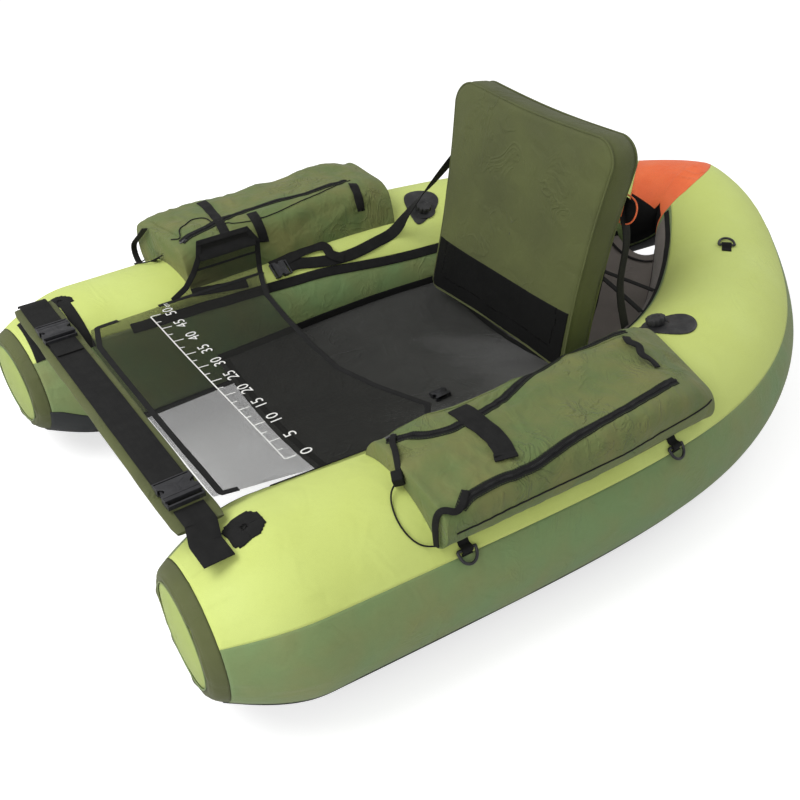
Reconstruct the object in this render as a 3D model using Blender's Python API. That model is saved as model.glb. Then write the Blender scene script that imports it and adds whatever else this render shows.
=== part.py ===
# Float tube (belly boat): two inflated legs joined by a raised stern, a mesh seat with a folding backrest,
# a mesh lap apron with a printed ruler, a spreader bar on side-release buckles and two side bags.
# Metres, +Z up. The rider faces -Y, so +X is the left side. Origin: floor level, middle of the plan box.
import math

import bpy
import bmesh
import numpy as np
from mathutils import Matrix, Vector
from mathutils.bvhtree import BVHTree

# Hull centreline: half spans across X and the places along Y that they belong to
hull_length = 1.510
tip_half_span = 0.3676
widest_half_span = 0.3925
quarter_half_span = 0.3033
shoulder_half_span = 0.1623
widest_place_share = -0.2056
quarter_place_share = 0.2692
shoulder_place_share = 0.3752

# Inflated tube
tube_half_width = 0.1608
tube_flattening_share = 0.864
tip_half_width = 0.1009
stern_half_width = 0.1000
tip_taper_share = 0.10
stern_taper_share = 0.50
tip_lift = 0.0106
tip_lift_share = 0.35
stern_lift = 0.1318
stern_lift_share = 0.45
floor_squash = 0.004

# Fabric layers
cover_thickness = 0.0012
bladder_thickness = 0.0009
layer_gap = 0.0006
seam_gap = 0.0006
sole_thickness = 0.0018
contact_gap = 0.0004

# Seams, in degrees round the tube: 0 points away from the cockpit, 90 up, 180 into the cockpit
outer_seam_angle = 33
inner_seam_angle = 142.5
panel_inner_angle = 198.9
sole_inner_angle = 213
sole_outer_angle = 312
top_panel_lines = 8
inner_wall_lines = 4
sole_lines = 6
outer_wall_lines = 5

# Stern panel, measured along the centreline from the stern's middle
stern_panel_left = 0.055
stern_panel_right = 0.130

# Tips
collar_length = 0.042
collar_ring_width = 0.017
collar_thickness = 0.004
tip_disc_thickness = 0.003
tip_disc_dome = 0.009

# Inflation valves
valve_left_run = 0.593
valve_right_run = 0.655
valve_angle = 114
valve_patch_width = 0.056
valve_patch_thickness = 0.0016
valve_neck_radius = 0.0125
valve_neck_bore = 0.0085
valve_neck_height = 0.014
valve_neck_depth = 0.012
valve_cap_radius = 0.0175
valve_cap_height = 0.013
valve_cap_rib_depth = 0.0014
valve_cap_ribs = 12
valve_clearance = 0.0004
valve_retainer_width = 0.0032
valve_retainer_thickness = 0.0022

# Seat sling and cargo floor
seat_front = -0.405
seat_back = 0.160
seat_edge_angle = 181
seat_sag = 0.034
mesh_thickness = 0.0016
seat_fold_height = 0.004
cargo_front = 0.168
cargo_back = 0.500
cargo_edge_angle = 185
cargo_sag = 0.020
cargo_strap_width = 0.012
cargo_strap_thickness = 0.0016
cargo_strap_angle = 150
cargo_strap_near_share = 0.24
cargo_strap_far_share = 0.30

# Backrest
backrest_width = 0.430
backrest_height = 0.440
backrest_thickness = 0.062
backrest_lean = math.radians(8.8)
backrest_foot_y = 0.0960
backrest_foot_z = 0.1500
backrest_corner = 0.046
backrest_foot_corner = 0.022
backrest_edge_round = 0.013
backrest_crown = 0.009
backrest_draw_in = 0.006
backrest_waist = 0.010
backrest_skin = 0.0014
backrest_opening_margin = 0.060
backrest_valve_hole = 0.014
pocket_height = 0.205
pocket_width = 0.352
pocket_foot = 0.022
pocket_bulge = 0.014
pocket_thickness = 0.0016

# Webbing
brace_width = 0.025
webbing_thickness = 0.0018
brace_head_height = 0.300
rear_brace_head_height = 0.335
brace_route = ((0.762, 129), (0.800, 132), (0.850, 135), (0.900, 136), (0.950, 134), (0.985, 131))
brace_buckle_run = 1.042
brace_buckle_angle = 129
rear_brace_run = 0.560
rear_brace_angle = 148
loose_buckle_x = 0.081
loose_buckle_y = -0.094

# Side-release buckles: the wide one on the bar and the narrow one on the braces, as length, width and height
bar_buckle = (0.040, 0.056, 0.0125)
brace_buckle = (0.026, 0.033, 0.0095)
buckle_wall = 0.0022
buckle_fit = 0.0005
buckle_prong_share = 0.62
buckle_slot_share = 0.16
buckle_corner = 0.0018
bar_release_travel = 0.030

# Spreader bar
bar_setback = 0.072
bar_y = bar_setback - hull_length / 2
bar_left_end = 0.322
bar_right_end = -0.385
bar_sleeve_width = 0.074
bar_sleeve_height = 0.0105
bar_sleeve_wall = 0.0016
bar_lift_over_hull = 0.0008
batten_width = 0.058
batten_height = 0.0045
batten_corner = 0.0009
batten_end_margin = 0.030
bar_web_width = 0.050
left_buckle_x = 0.226
right_buckle_x = -0.262
anchor_hinge_x = -0.398
anchor_tab_end = 0.396
patch_allowance = 0.0012
rest_gap = 0.0006

# Lap apron. Each row holds shares of the half span, the front and rear places and the height
apron_height = 0.262
apron_seam_gap = 0.0005
apron_front = bar_y + bar_sleeve_width / 2 + apron_seam_gap
apron_side_inset = 0.0925
apron_half_span = widest_half_span - apron_side_inset
apron_thickness = 0.0014
apron_front_rise = 0.021
apron_rise_length = 0.1455
apron_rise_start = apron_front + apron_rise_length
apron_rows = (
    (1.000, 0.583, 0.515, 0.985), (0.950, 0.775, 0.420, 0.990), (0.873, 1.000, 0.385, 1.000),
    (0.567, 1.000, 0.447, 1.000), (0.290, 1.000, 0.483, 0.996), (0.000, 1.000, 0.480, 0.992),
    (-0.333, 1.000, 0.469, 0.992), (-0.667, 1.000, 0.451, 0.998),
    (-0.880, 0.970, 0.415, 1.000), (-0.945, 0.720, 0.405, 1.000),
)
flap_rows = (
    (-0.9464, 0.715, 0.405, 1.001), (-0.990, 0.660, 0.398, 1.040),
    (-1.012, 0.625, 0.394, 1.120), (-1.022, 0.600, 0.391, 1.220),
    (-1.050, 0.585, 0.420, 1.330),
)

# Side bags, measured along the hull from the stern's middle and across from the tube's crown
bag_front_run = 1.238
left_bag_back_runs = (0.635, 0.725)
right_bag_back_runs = (0.740, 0.740)
bag_outer_angle = 42
bag_inner_angle = 120
left_bag_height = 0.058
right_bag_height = 0.066
bag_end_round = 0.022
bag_end_share = 0.55
left_bag_fall_share = 0.40
right_bag_fall_share = 0.05
left_bag_rear_share = 0.30
right_bag_rear_share = 1.0
bag_rear_reach = 0.22
bag_base_gap = 0.0011
slider_length = 0.014
slider_width = 0.009
slider_height = 0.006
slider_setback = 0.024

# D-rings
ring_front_run = 1.200
ring_rear_run = 0.803
ring_side_angle = 36
ring_stern_run = 0.285
ring_stern_angle = 92
ring_radius = 0.0148
ring_wire = 0.0024
ring_depth_share = 1.45
ring_tilt_share = 0.03
tab_length = 0.005
tab_width = 0.018
tab_thickness = 0.0018
tab_loop_clearance = 0.0008

# Bag cords
bag_cord_radius = 0.0013
bag_cord_route = (
    (1.2394, 82, 0.016), (1.2560, 80, 0.010), (1.2740, 68, 0.0028), (1.2740, 56, 0.0028),
    (1.2600, 47, 0.0034), (1.2394, 43.5, 0.009),
)

leg_lines = 7
tip_lines = 3
stern_lines = 12


def clear_scene():
    for item in list(bpy.data.objects):
        bpy.data.objects.remove(item)


def make_material(name, color, roughness, metallic=0.0):
    material = bpy.data.materials.new(name)
    material.use_nodes = True
    shader = material.node_tree.nodes["Principled BSDF"]
    shader.inputs["Base Color"].default_value = (*color, 1)
    shader.inputs["Roughness"].default_value = roughness
    shader.inputs["Metallic"].default_value = metallic
    material.diffuse_color = (*color, 1)
    return material


def make_empty(name, location, parent=None):
    empty = bpy.data.objects.new(name, None)
    bpy.context.scene.collection.objects.link(empty)
    empty.parent = parent
    if parent:
        empty.location = Vector(location) - parent.matrix_world.translation
    else:
        empty.location = location
    bpy.context.view_layer.update()
    return empty


def make_solid(name, points, faces, material, pivot=None, smooth_angle=35):
    """A closed mesh object from world points. Its origin is its pivot's place."""
    shift = pivot.matrix_world.translation if pivot else Vector()
    grid = bmesh.new()
    corners = [grid.verts.new(Vector(point) - shift) for point in points]
    for face in faces:
        grid.faces.new([corners[index] for index in face])
    if grid.calc_volume(signed=True) < 0:
        bmesh.ops.reverse_faces(grid, faces=grid.faces)
    mesh = bpy.data.meshes.new(name)
    grid.to_mesh(mesh)
    grid.free()
    return link_mesh(name, mesh, material, pivot, smooth_angle)


def link_mesh(name, mesh, material, pivot, smooth_angle=35):
    mesh.materials.append(material)
    mesh.shade_smooth()
    mesh.set_sharp_from_angle(angle=math.radians(smooth_angle))
    item = bpy.data.objects.new(name, mesh)
    bpy.context.scene.collection.objects.link(item)
    item.parent = pivot
    bpy.context.view_layer.update()
    return item


def smooth_path(points, count):
    """Evenly spaced points on the natural cubic spline through the given ones."""
    knots = np.array(points, float)
    chord = np.r_[0, np.cumsum(np.linalg.norm(np.diff(knots, axis=0), axis=1))]
    step = np.diff(chord)
    size = len(knots)
    system = np.eye(size)
    right = np.zeros_like(knots)
    for row in range(1, size - 1):
        system[row, row - 1] = step[row - 1]
        system[row, row] = 2 * (step[row - 1] + step[row])
        system[row, row + 1] = step[row]
        slope_after = (knots[row + 1] - knots[row]) / step[row]
        slope_before = (knots[row] - knots[row - 1]) / step[row - 1]
        right[row] = 6 * (slope_after - slope_before)
    bend = np.linalg.solve(system, right)
    fine = np.linspace(0, chord[-1], 40 * size)
    cell = np.clip(np.searchsorted(chord, fine, "right") - 1, 0, size - 2)
    after = ((fine - chord[cell]) / step[cell])[:, None]
    before = 1 - after
    width = step[cell][:, None]
    curve = before * knots[cell] + after * knots[cell + 1]
    curve += ((before**3 - before) * bend[cell] + (after**3 - after) * bend[cell + 1]) * width**2 / 6
    length = np.r_[0, np.cumsum(np.linalg.norm(np.diff(curve, axis=0), axis=1))]
    places = np.linspace(0, length[-1], count)
    return np.column_stack([np.interp(places, length, curve[:, axis]) for axis in range(curve.shape[1])])


# Hull surface

def hull_knots():
    stern_y = hull_length / 2 - stern_half_width
    tip_y = -hull_length / 2 + collar_thickness
    one_side = [
        (tip_half_span, tip_y),
        (widest_half_span, widest_place_share * hull_length),
        (quarter_half_span, quarter_place_share * hull_length),
        (shoulder_half_span, shoulder_place_share * hull_length),
    ]
    return [(-x, y) for x, y in one_side] + [(0, stern_y)] + one_side[::-1]


centreline = smooth_path(hull_knots(), 801)
centre_run = np.r_[0, np.cumsum(np.linalg.norm(np.diff(centreline, axis=0), axis=1))]
half_run = centre_run[-1] / 2
centre_run -= half_run
tube_half_height = tube_half_width * tube_flattening_share
sole_plane = sole_thickness + layer_gap
tube_centre_height = tube_half_height + sole_plane - floor_squash


def tube_frame(run):
    """Centre, outward direction, half width and half height of the tube. run is 0 at the stern's middle
    and grows to the left tip."""
    x = np.interp(run, centre_run, centreline[:, 0])
    y = np.interp(run, centre_run, centreline[:, 1])
    reach = hull_length / 400
    ahead = [np.interp(run + reach, centre_run, centreline[:, axis]) for axis in (0, 1)]
    behind = [np.interp(run - reach, centre_run, centreline[:, axis]) for axis in (0, 1)]
    along = np.subtract(ahead, behind)
    along /= np.linalg.norm(along)
    outward = np.array([-along[1], along[0]])
    share = 1 - abs(run) / half_run
    taper = min(max((share - stern_taper_share) / (1 - stern_taper_share), 0), 1)
    half_width = tube_half_width + (stern_half_width - tube_half_width) * taper**2
    tip_ratio = tip_half_width / tube_half_width
    tip_rise = math.sin(min(share / tip_taper_share, 1) * math.pi / 2)
    half_width *= tip_ratio + (1 - tip_ratio) * tip_rise
    lift = tip_lift * max(1 - share / tip_lift_share, 0) ** 2
    lift += stern_lift * max((share - 1 + stern_lift_share) / stern_lift_share, 0) ** 2
    return np.array([x, y, tube_centre_height + lift]), outward, half_width, half_width * tube_flattening_share


def surface_point(run, angle, offset):
    centre, outward, half_width, half_height = tube_frame(run)
    turn = math.radians(angle)
    side = (half_width + offset) * math.cos(turn)
    height = centre[2] + (half_height + offset) * math.sin(turn)
    height = max(height, sole_plane - offset)
    return np.array([centre[0] + outward[0] * side, centre[1] + outward[1] * side, height])


def hull_run_lines():
    tip_start = half_run - collar_length
    leg_start = half_run * (1 - tip_taper_share)
    stern_start = half_run * (1 - stern_taper_share)
    one_side = np.r_[
        np.linspace(tip_start, leg_start, tip_lines),
        np.linspace(leg_start, stern_start, leg_lines)[1:],
        np.linspace(stern_start, 0, stern_lines)[1:],
    ]
    port = valve_neck_radius + valve_clearance * 4
    seams = np.array([
        stern_panel_left, -stern_panel_right, valve_left_run - port, valve_left_run + port,
        -valve_right_run - port, port - valve_right_run,
    ])
    lines = np.unique(np.round(np.r_[one_side, -one_side[:-1]], 6))
    # Drop the even lines that would crowd the stern panel's seams and the valves' ports
    least = half_run / 60
    lines = np.r_[seams, lines[[np.abs(seams - line).min() > least for line in lines]]]
    return np.unique(np.round(lines, 7))


def hull_angle_lines():
    return np.r_[
        np.linspace(outer_seam_angle, inner_seam_angle, top_panel_lines + 1),
        np.linspace(inner_seam_angle, panel_inner_angle, inner_wall_lines + 1)[1:],
        [sole_inner_angle],
        np.linspace(sole_inner_angle, sole_outer_angle, sole_lines + 1)[1:],
        np.linspace(sole_outer_angle, outer_seam_angle + 360, outer_wall_lines + 1)[1:],
    ]


run_lines = hull_run_lines()
angle_lines = hull_angle_lines()


def lines_between(lines, start, end):
    """start, the shared lines strictly between, and end."""
    spare = (lines[-1] - lines[0]) / 10000
    inner = [line for line in lines if start + spare < line < end - spare]
    return [start, *inner, end]


def hull_point(run, angle, offset):
    """A point on the hull's flat facets, so that layers with other lines lie flush."""
    turn = (angle - angle_lines[0]) % 360 + angle_lines[0]
    column = min(max(np.searchsorted(angle_lines, turn, "right") - 1, 0), len(angle_lines) - 2)
    row = min(max(np.searchsorted(run_lines, run, "right") - 1, 0), len(run_lines) - 2)
    run_low, run_high = run_lines[row], run_lines[row + 1]
    angle_low, angle_high = angle_lines[column], angle_lines[column + 1]
    along = (run - run_low) / (run_high - run_low)
    around = (turn - angle_low) / (angle_high - angle_low)
    first, last = surface_point(run_low, angle_low, offset), surface_point(run_high, angle_high, offset)
    if around > along:
        corner = surface_point(run_low, angle_high, offset)
        return first + around * (corner - first) + along * (last - corner)
    corner = surface_point(run_high, angle_low, offset)
    return first + along * (corner - first) + around * (last - corner)


def hull_normal(run, angle):
    step = 2.0
    reach = hull_length / 200
    across = hull_point(run, angle + step, 0) - hull_point(run, angle - step, 0)
    along = hull_point(run + reach, angle, 0) - hull_point(run - reach, angle, 0)
    normal = np.cross(along, across)
    normal /= np.linalg.norm(normal)
    away = surface_point(run, angle, 1) - surface_point(run, angle, 0)
    return normal * math.copysign(1, np.dot(normal, away))


def grid_faces(rows, columns, start=0, flip=False, closed=False):
    """Two triangles for each cell, all split along one diagonal, so that layers lie parallel."""
    faces = []
    last = columns if closed else columns - 1
    for row in range(rows - 1):
        for column in range(last):
            beside = (column + 1) % columns
            low, side = (start + row * columns + place for place in (column, beside))
            up, far = low + columns, side + columns
            for face in ([low, side, far], [low, far, up]):
                faces.append(face[::-1] if flip else face)
    return faces


def thick_sheet(name, outer, inner, material, pivot=None, closed=False):
    """A closed sheet between two grids of the same size. A closed one runs round in its second direction."""
    rows, columns = len(outer), len(outer[0])
    size = rows * columns
    points = [point for row in outer for point in row] + [point for row in inner for point in row]
    faces = grid_faces(rows, columns, 0, False, closed) + grid_faces(rows, columns, size, True, closed)
    last = columns if closed else columns - 1
    for column in range(last):
        beside = (column + 1) % columns
        faces.append([beside, column, size + column, size + beside])
        low = (rows - 1) * columns
        faces.append([low + column, low + beside, size + low + beside, size + low + column])
    if not closed:
        for row in range(rows - 1):
            left, below = row * columns, (row + 1) * columns
            faces.append([left, below, size + below, size + left])
            right, under = left + columns - 1, below + columns - 1
            faces.append([under, right, size + right, size + under])
    return make_solid(name, points, faces, material, pivot)


def hull_panel(name, run_start, run_end, angle_start, angle_end, outer, inner, material, closed=False):
    """A layer of the hull between two runs and two angles, inset by half a seam gap on every side."""
    runs = lines_between(run_lines, run_start, run_end)
    runs[0] += seam_gap / 2
    runs[-1] -= seam_gap / 2
    angles = lines_between(np.r_[angle_lines, angle_lines + 360], angle_start, angle_end)
    if closed:
        angles = angles[:-1]
    else:
        inset = math.degrees(seam_gap / 2 / tube_half_height)
        angles[0] += inset
        angles[-1] -= inset
    outside = [[hull_point(run, angle, outer) for angle in angles] for run in runs]
    inside = [[hull_point(run, angle, inner) for angle in angles] for run in runs]
    return thick_sheet(name, outside, inside, material, closed=closed)


def loft(name, sections, material, pivot=None, smooth_angle=35):
    """A solid through closed sections with the same number of points, with flat ends."""
    columns = len(sections[0])
    points = [point for section in sections for point in section]
    faces = grid_faces(len(sections), columns, closed=True)
    faces.append(list(range(columns))[::-1])
    low = (len(sections) - 1) * columns
    faces.append([low + index for index in range(columns)])
    return make_solid(name, points, faces, material, pivot, smooth_angle)


def strap(name, path, faces_to, width, thickness, material, pivot=None):
    """Flat webbing along a path. faces_to holds the direction that its face looks in at each point."""
    path = [np.array(point, float) for point in path]
    sections = []
    for index, point in enumerate(path):
        ahead = path[min(index + 1, len(path) - 1)] - path[max(index - 1, 0)]
        ahead /= np.linalg.norm(ahead)
        look = np.array(faces_to[index], float)
        look -= ahead * np.dot(look, ahead)
        look /= np.linalg.norm(look)
        side = np.cross(ahead, look) * width / 2
        up = look * thickness / 2
        sections.append([point - side - up, point + side - up, point + side + up, point - side + up])
    return loft(name, sections, material, pivot)


def rounded_block(name, size, centre, axes, corner, material, pivot=None):
    """A bevelled block. axes is the 3 by 3 matrix of its own length, width and height directions."""
    grid = bmesh.new()
    bmesh.ops.create_cube(grid, size=1)
    shift = pivot.matrix_world.translation if pivot else Vector()
    turn = Matrix([list(row) for row in np.array(axes).T]).to_4x4()
    place = Matrix.Translation(Vector(centre) - shift) @ turn @ Matrix.Diagonal((*size, 1))
    bmesh.ops.transform(grid, matrix=place, verts=grid.verts)
    bmesh.ops.recalc_face_normals(grid, faces=grid.faces)
    mesh = bpy.data.meshes.new(name)
    grid.to_mesh(mesh)
    grid.free()
    item = link_mesh(name, mesh, material, pivot)
    if corner:
        bevel = item.modifiers.new("corner", "BEVEL")
        bevel.width = corner
        bevel.segments = 1
    return item


def make_cutter(item):
    item.hide_render = True
    item.display_type = "WIRE"
    return item


def cut(item, cutter, operation="DIFFERENCE"):
    boolean = item.modifiers.new("cut", "BOOLEAN")
    boolean.operation = operation
    boolean.object = make_cutter(cutter)


def turned(name, profile, base, axis, material, sides=16, pivot=None, rib_floor=None, rib_depth=0):
    """A solid turned about an axis from (radius, height) points. Its profile starts and ends on the axis or closes on itself."""
    axis = Vector(axis).normalized()
    turn = axis.to_track_quat("Z", "Y").to_matrix()
    base = Vector(base)
    points, rows = [], []
    for step in range(sides):
        bearing = 2 * math.pi * step / sides
        row = []
        for index, (radius, height) in enumerate(profile):
            if radius == 0 and step:
                row.append(rows[0][index])
                continue
            if rib_floor and radius > rib_floor:
                radius -= rib_depth * (step % 2)
            row.append(len(points))
            points.append(base + turn @ Vector((radius * math.cos(bearing), radius * math.sin(bearing), height)))
        rows.append(row)
    faces = []
    for step, row in enumerate(rows):
        beside = rows[(step + 1) % sides]
        for index in range(len(profile)):
            after = (index + 1) % len(profile)
            face = [row[index], beside[index], beside[after], row[after]]
            face = list(dict.fromkeys(face))
            if len(face) > 2:
                faces.append(face)
    return make_solid(name, points, faces, material, pivot)


def wire(name, points, radius, material, cyclic=False, resolution=2, pivot=None):
    """A round wire or cord: a curve with a bevel and filled caps."""
    shift = pivot.matrix_world.translation if pivot else Vector()
    data = bpy.data.curves.new(name, "CURVE")
    data.dimensions = "3D"
    data.bevel_depth = radius
    data.bevel_resolution = resolution
    data.use_fill_caps = not cyclic
    line = data.splines.new("POLY")
    line.points.add(len(points) - 1)
    for slot, point in zip(line.points, points):
        slot.co = (*(Vector(point) - shift), 1)
    line.use_cyclic_u = cyclic
    data.materials.append(material)
    item = bpy.data.objects.new(name, data)
    bpy.context.scene.collection.objects.link(item)
    item.parent = pivot
    bpy.context.view_layer.update()
    return item


# Inflated hull

def build_hull(paint):
    tip = half_run - collar_length
    bladder_outer = -cover_thickness - layer_gap * 1.6
    bladder_inner = bladder_outer - bladder_thickness
    for side, sign in (("left", 1), ("right", -1)):
        panel_edge = stern_panel_left if sign > 0 else stern_panel_right
        start, end = sorted((sign * panel_edge, sign * tip))
        around = inner_seam_angle, outer_seam_angle + 360
        hull_panel(f"top_cover_{side}", start, end, outer_seam_angle, inner_seam_angle, 0, -cover_thickness, paint["lime"])
        hull_panel(f"lower_cover_{side}", start, end, *around, 0, -cover_thickness, paint["olive"])
        sole_start, sole_end = sorted((0, sign * (tip - collar_length)))
        outer = layer_gap + sole_thickness
        around = sole_inner_angle, sole_outer_angle
        hull_panel(f"sole_{side}", sole_start, sole_end, *around, outer, layer_gap, paint["sole"])
        build_bladder(side, sign, tip, bladder_outer, bladder_inner, paint["bladder"])
        build_tip(side, sign, tip, paint)
    span = -stern_panel_right, stern_panel_left
    hull_panel("stern_panel", *span, outer_seam_angle, panel_inner_angle, 0, -cover_thickness, paint["orange"])
    around = panel_inner_angle, outer_seam_angle + 360
    hull_panel("lower_cover_stern", *span, *around, 0, -cover_thickness, paint["olive"])


def build_bladder(side, sign, tip, outer, inner, material):
    """The air chamber inside a leg: a thin tube with flat ends and a port for its valve."""
    port_run = sign * (valve_left_run if sign > 0 else valve_right_run)
    half = valve_neck_radius + valve_clearance * 4
    turn = math.degrees(half / tube_half_width)
    port_runs = (round(port_run - half, 7), round(port_run + half, 7))
    port_angles = (valve_angle - turn, valve_angle + turn)
    runs = lines_between(run_lines, *sorted((sign * layer_gap, sign * (tip - collar_length / 2))))
    kept = [angle for angle in angle_lines[:-1] if not port_angles[0] < angle < port_angles[1]]
    angles = sorted(kept + list(port_angles))
    outside = [[hull_point(run, angle, outer) for angle in angles] for run in runs]
    inside = [[hull_point(run, angle, inner) for angle in angles] for run in runs]
    columns = len(angles)
    size = len(runs) * columns
    points = [point for row in outside for point in row] + [point for row in inside for point in row]
    row, column = runs.index(port_runs[0]), angles.index(port_angles[0])
    cell = 2 * (row * columns + column)
    faces = []
    for skin in (grid_faces(len(runs), columns, 0, False, True), grid_faces(len(runs), columns, size, True, True)):
        faces += skin[:cell] + skin[cell + 2:]
    first = row * columns + column
    rim = [first, first + 1, first + columns + 1, first + columns]
    for corner, after in zip(rim, rim[1:] + rim[:1]):
        faces.append([corner, after, size + after, size + corner])
    low = (len(runs) - 1) * columns
    for first, second, flip in ((0, columns, True), (low, low - columns, False)):
        ring = [first + index for index in range(columns)]
        hollow = [size + index for index in ring]
        faces.append(ring[::-1] if flip else ring)
        faces.append(hollow if flip else hollow[::-1])
        # The inner skin's end stands a wall inside the outer one's
        for index in range(columns):
            inward = points[size + second + index] - points[size + first + index]
            step = inward / np.linalg.norm(inward) * bladder_thickness
            points[size + first + index] = points[size + first + index] + step
    make_solid(f"air_bladder_{side}", points, faces, material)


def build_tip(side, sign, tip, paint):
    """The olive collar turned over the tube's end and the lime disc that closes it."""
    angles = list(angle_lines[:-1])
    end = half_run
    join = tip + seam_gap / 2

    def ring(run, offset):
        return [surface_point(sign * run, angle, offset) for angle in angles]

    def hub(run, radius, offset):
        centre, outward, half_width, half_height = tube_frame(sign * run)
        share = radius / half_width
        along = np.array([outward[1], -outward[0]]) * sign
        along3 = np.array([along[0], along[1], 0])
        if np.dot(along3, [0, -1, 0]) < 0:
            along3 = -along3
        loop = []
        for angle in angles:
            turn = math.radians(angle)
            flat = half_width * share * math.cos(turn)
            rise = half_height * share * math.sin(turn)
            spread = np.array([outward[0] * flat, outward[1] * flat, rise])
            loop.append(centre + spread + along3 * offset)
        return loop

    disc_radius = tip_half_width - collar_ring_width
    skin = cover_thickness * 2
    outer = [ring(join, 0), ring((join + end) / 2, 0), ring(end, -skin)]
    outer += [hub(end, tip_half_width - skin * 2, skin), hub(end, disc_radius, skin)]
    inner = [ring(join, -cover_thickness), ring((join + end) / 2, -cover_thickness), ring(end - skin, -skin * 2)]
    inner += [hub(end - skin, tip_half_width - skin * 3, 0), hub(end - skin, disc_radius, 0)]
    thick_sheet(f"tip_collar_{side}", outer, inner, paint["olive"], closed=True)
    face = disc_radius - seam_gap
    dome_shares = ((1, 0), (0.8, 0.45), (0.45, 0.85))
    front = [hub(end, face * radius, skin + tip_disc_dome * rise) for radius, rise in dome_shares]
    back = [hub(end, face * radius, skin + tip_disc_dome * rise - tip_disc_thickness) for radius, rise in dome_shares]
    points = [point for row in front + back for point in row]
    columns, size = len(angles), len(angles) * len(front)
    faces = grid_faces(len(front), columns, 0, False, True) + grid_faces(len(back), columns, size, True, True)
    for index in range(columns):
        beside = (index + 1) % columns
        faces.append([beside, index, size + index, size + beside])
    low = (len(front) - 1) * columns
    faces.append([low + index for index in range(columns)])
    faces.append([size + low + index for index in range(columns)][::-1])
    make_solid(f"tip_disc_{side}", points, faces, paint["lime"])


# Inflation valves

def build_valves(paint):
    for side, run in (("left", valve_left_run), ("right", -valve_right_run)):
        seat = hull_point(run, valve_angle, 0)
        axis = hull_normal(run, valve_angle)
        inner = valve_neck_radius + valve_clearance
        profile = [(0, -valve_neck_depth * 2), (inner, -valve_neck_depth * 2), (inner, valve_neck_height), (0, valve_neck_height)]
        drill = turned(f"valve_hole_{side}", profile, seat, axis, paint["black"])
        cut(bpy.data.objects[f"top_cover_{side}"], drill)
        flange = valve_patch_thickness + layer_gap * 2
        base = layer_gap * 2
        neck, ridge = valve_neck_radius, valve_retainer_thickness
        profile = [
            (valve_neck_bore, -valve_neck_depth), (neck, -valve_neck_depth), (neck, base),
            (valve_patch_width / 2, base), (valve_patch_width / 2, flange), (neck + ridge, flange),
            (neck, flange + ridge), (neck, valve_neck_height), (valve_neck_bore, valve_neck_height),
        ]
        turned(f"valve_base_{side}", profile, seat, axis, paint["black"], 20)
        place = seat + axis * valve_neck_height
        hub = make_empty(f"valve_axis_{side}", place)
        low = flange + ridge + valve_clearance
        outer = inner + valve_retainer_width
        profile = [(inner, low), (outer, low), (outer, low + ridge), (inner, low + ridge)]
        turned(f"valve_retainer_{side}", profile, seat, axis, paint["black"], 16, hub)
        skirt = low + ridge + valve_clearance
        top = skirt + valve_cap_height
        wall = inner + valve_clearance
        roof = valve_neck_height + valve_clearance * 2
        rim, rib = valve_cap_radius, valve_cap_rib_depth
        profile = [(0, roof), (wall, roof), (wall, skirt), (rim, skirt), (rim, top - rib), (rim - rib, top), (0, top)]
        turned(f"valve_cap_{side}", profile, seat, axis, paint["black"], valve_cap_ribs * 2, hub, rim - rib * 1.5, rib)
        print(f"valve {side}: seat {np.round(seat, 4)}, axis {np.round(axis, 4)}")


# Seat, cargo floor and apron

def sling(name, front, back, edge_angle, sag, fold, material, rows):
    """Mesh hung between the two inner walls, with soft folds running across it."""
    top = []
    legs = np.linspace(half_run * (1 - tip_taper_share), 0, 400)
    wall_y = [hull_point(run, edge_angle, rest_gap)[1] for run in legs]
    for place in np.linspace(front, back, rows):
        run = float(np.interp(place, wall_y, legs))
        left = hull_point(run, edge_angle, rest_gap)
        right = hull_point(-run, edge_angle, rest_gap)
        row = []
        for across in np.linspace(0, 1, 11):
            point = left + (right - left) * across
            hang = 1 - (2 * across - 1) ** 2
            ripple = fold * math.sin(3 * math.pi * (place - front) / (back - front)) * math.sin(2 * math.pi * across)
            point[2] += ripple - sag * hang
            row.append(point)
        top.append(row)
    under = [[point - np.array([0, 0, mesh_thickness]) for point in row] for row in top]
    return thick_sheet(name, top, under, material)


def build_slings(paint):
    sling("seat_sling", seat_front, seat_back, seat_edge_angle, seat_sag, seat_fold_height, paint["mesh"], 12)
    sling("cargo_floor", cargo_front, cargo_back, cargo_edge_angle, cargo_sag, seat_fold_height / 2, paint["mesh"], 8)
    near, far = cargo_strap_near_share * half_run, cargo_strap_far_share * half_run
    crossings = (("cargo_strap_low", near, far, 0), ("cargo_strap_high", far, near, cargo_strap_thickness * 5))
    for name, left_run, right_run, lift in crossings:
        reach = contact_gap + cargo_strap_width * 0.28
        left = hull_point(left_run, cargo_strap_angle, reach)
        right = hull_point(-right_run, cargo_strap_angle, reach)
        path = [left + (right - left) * share for share in (0, 0.25, 0.5, 0.75, 1)]
        for index, share in enumerate((0, 0.75, 1, 0.75, 0)):
            path[index] = path[index] + np.array([0, 0, lift * share])
        strap(name, path, [(0, 0, 1)] * 5, cargo_strap_width, cargo_strap_thickness, paint["webbing"])


def apron_grid(rows):
    """Points of the apron. Its front part climbs to the bar."""
    grid = []
    for span, front, rear, height in rows:
        row = []
        for share in np.linspace(0, 1, 6):
            y = apron_front * (front + (rear - front) * share)
            climb = min(max((apron_rise_start - y) / (apron_rise_start - apron_front), 0), 1)
            x = apron_half_span * span + apron_front_rise * climb
            row.append(np.array([x, y, apron_height * height + apron_front_rise * climb]))
        grid.append(row)
    return grid


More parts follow.
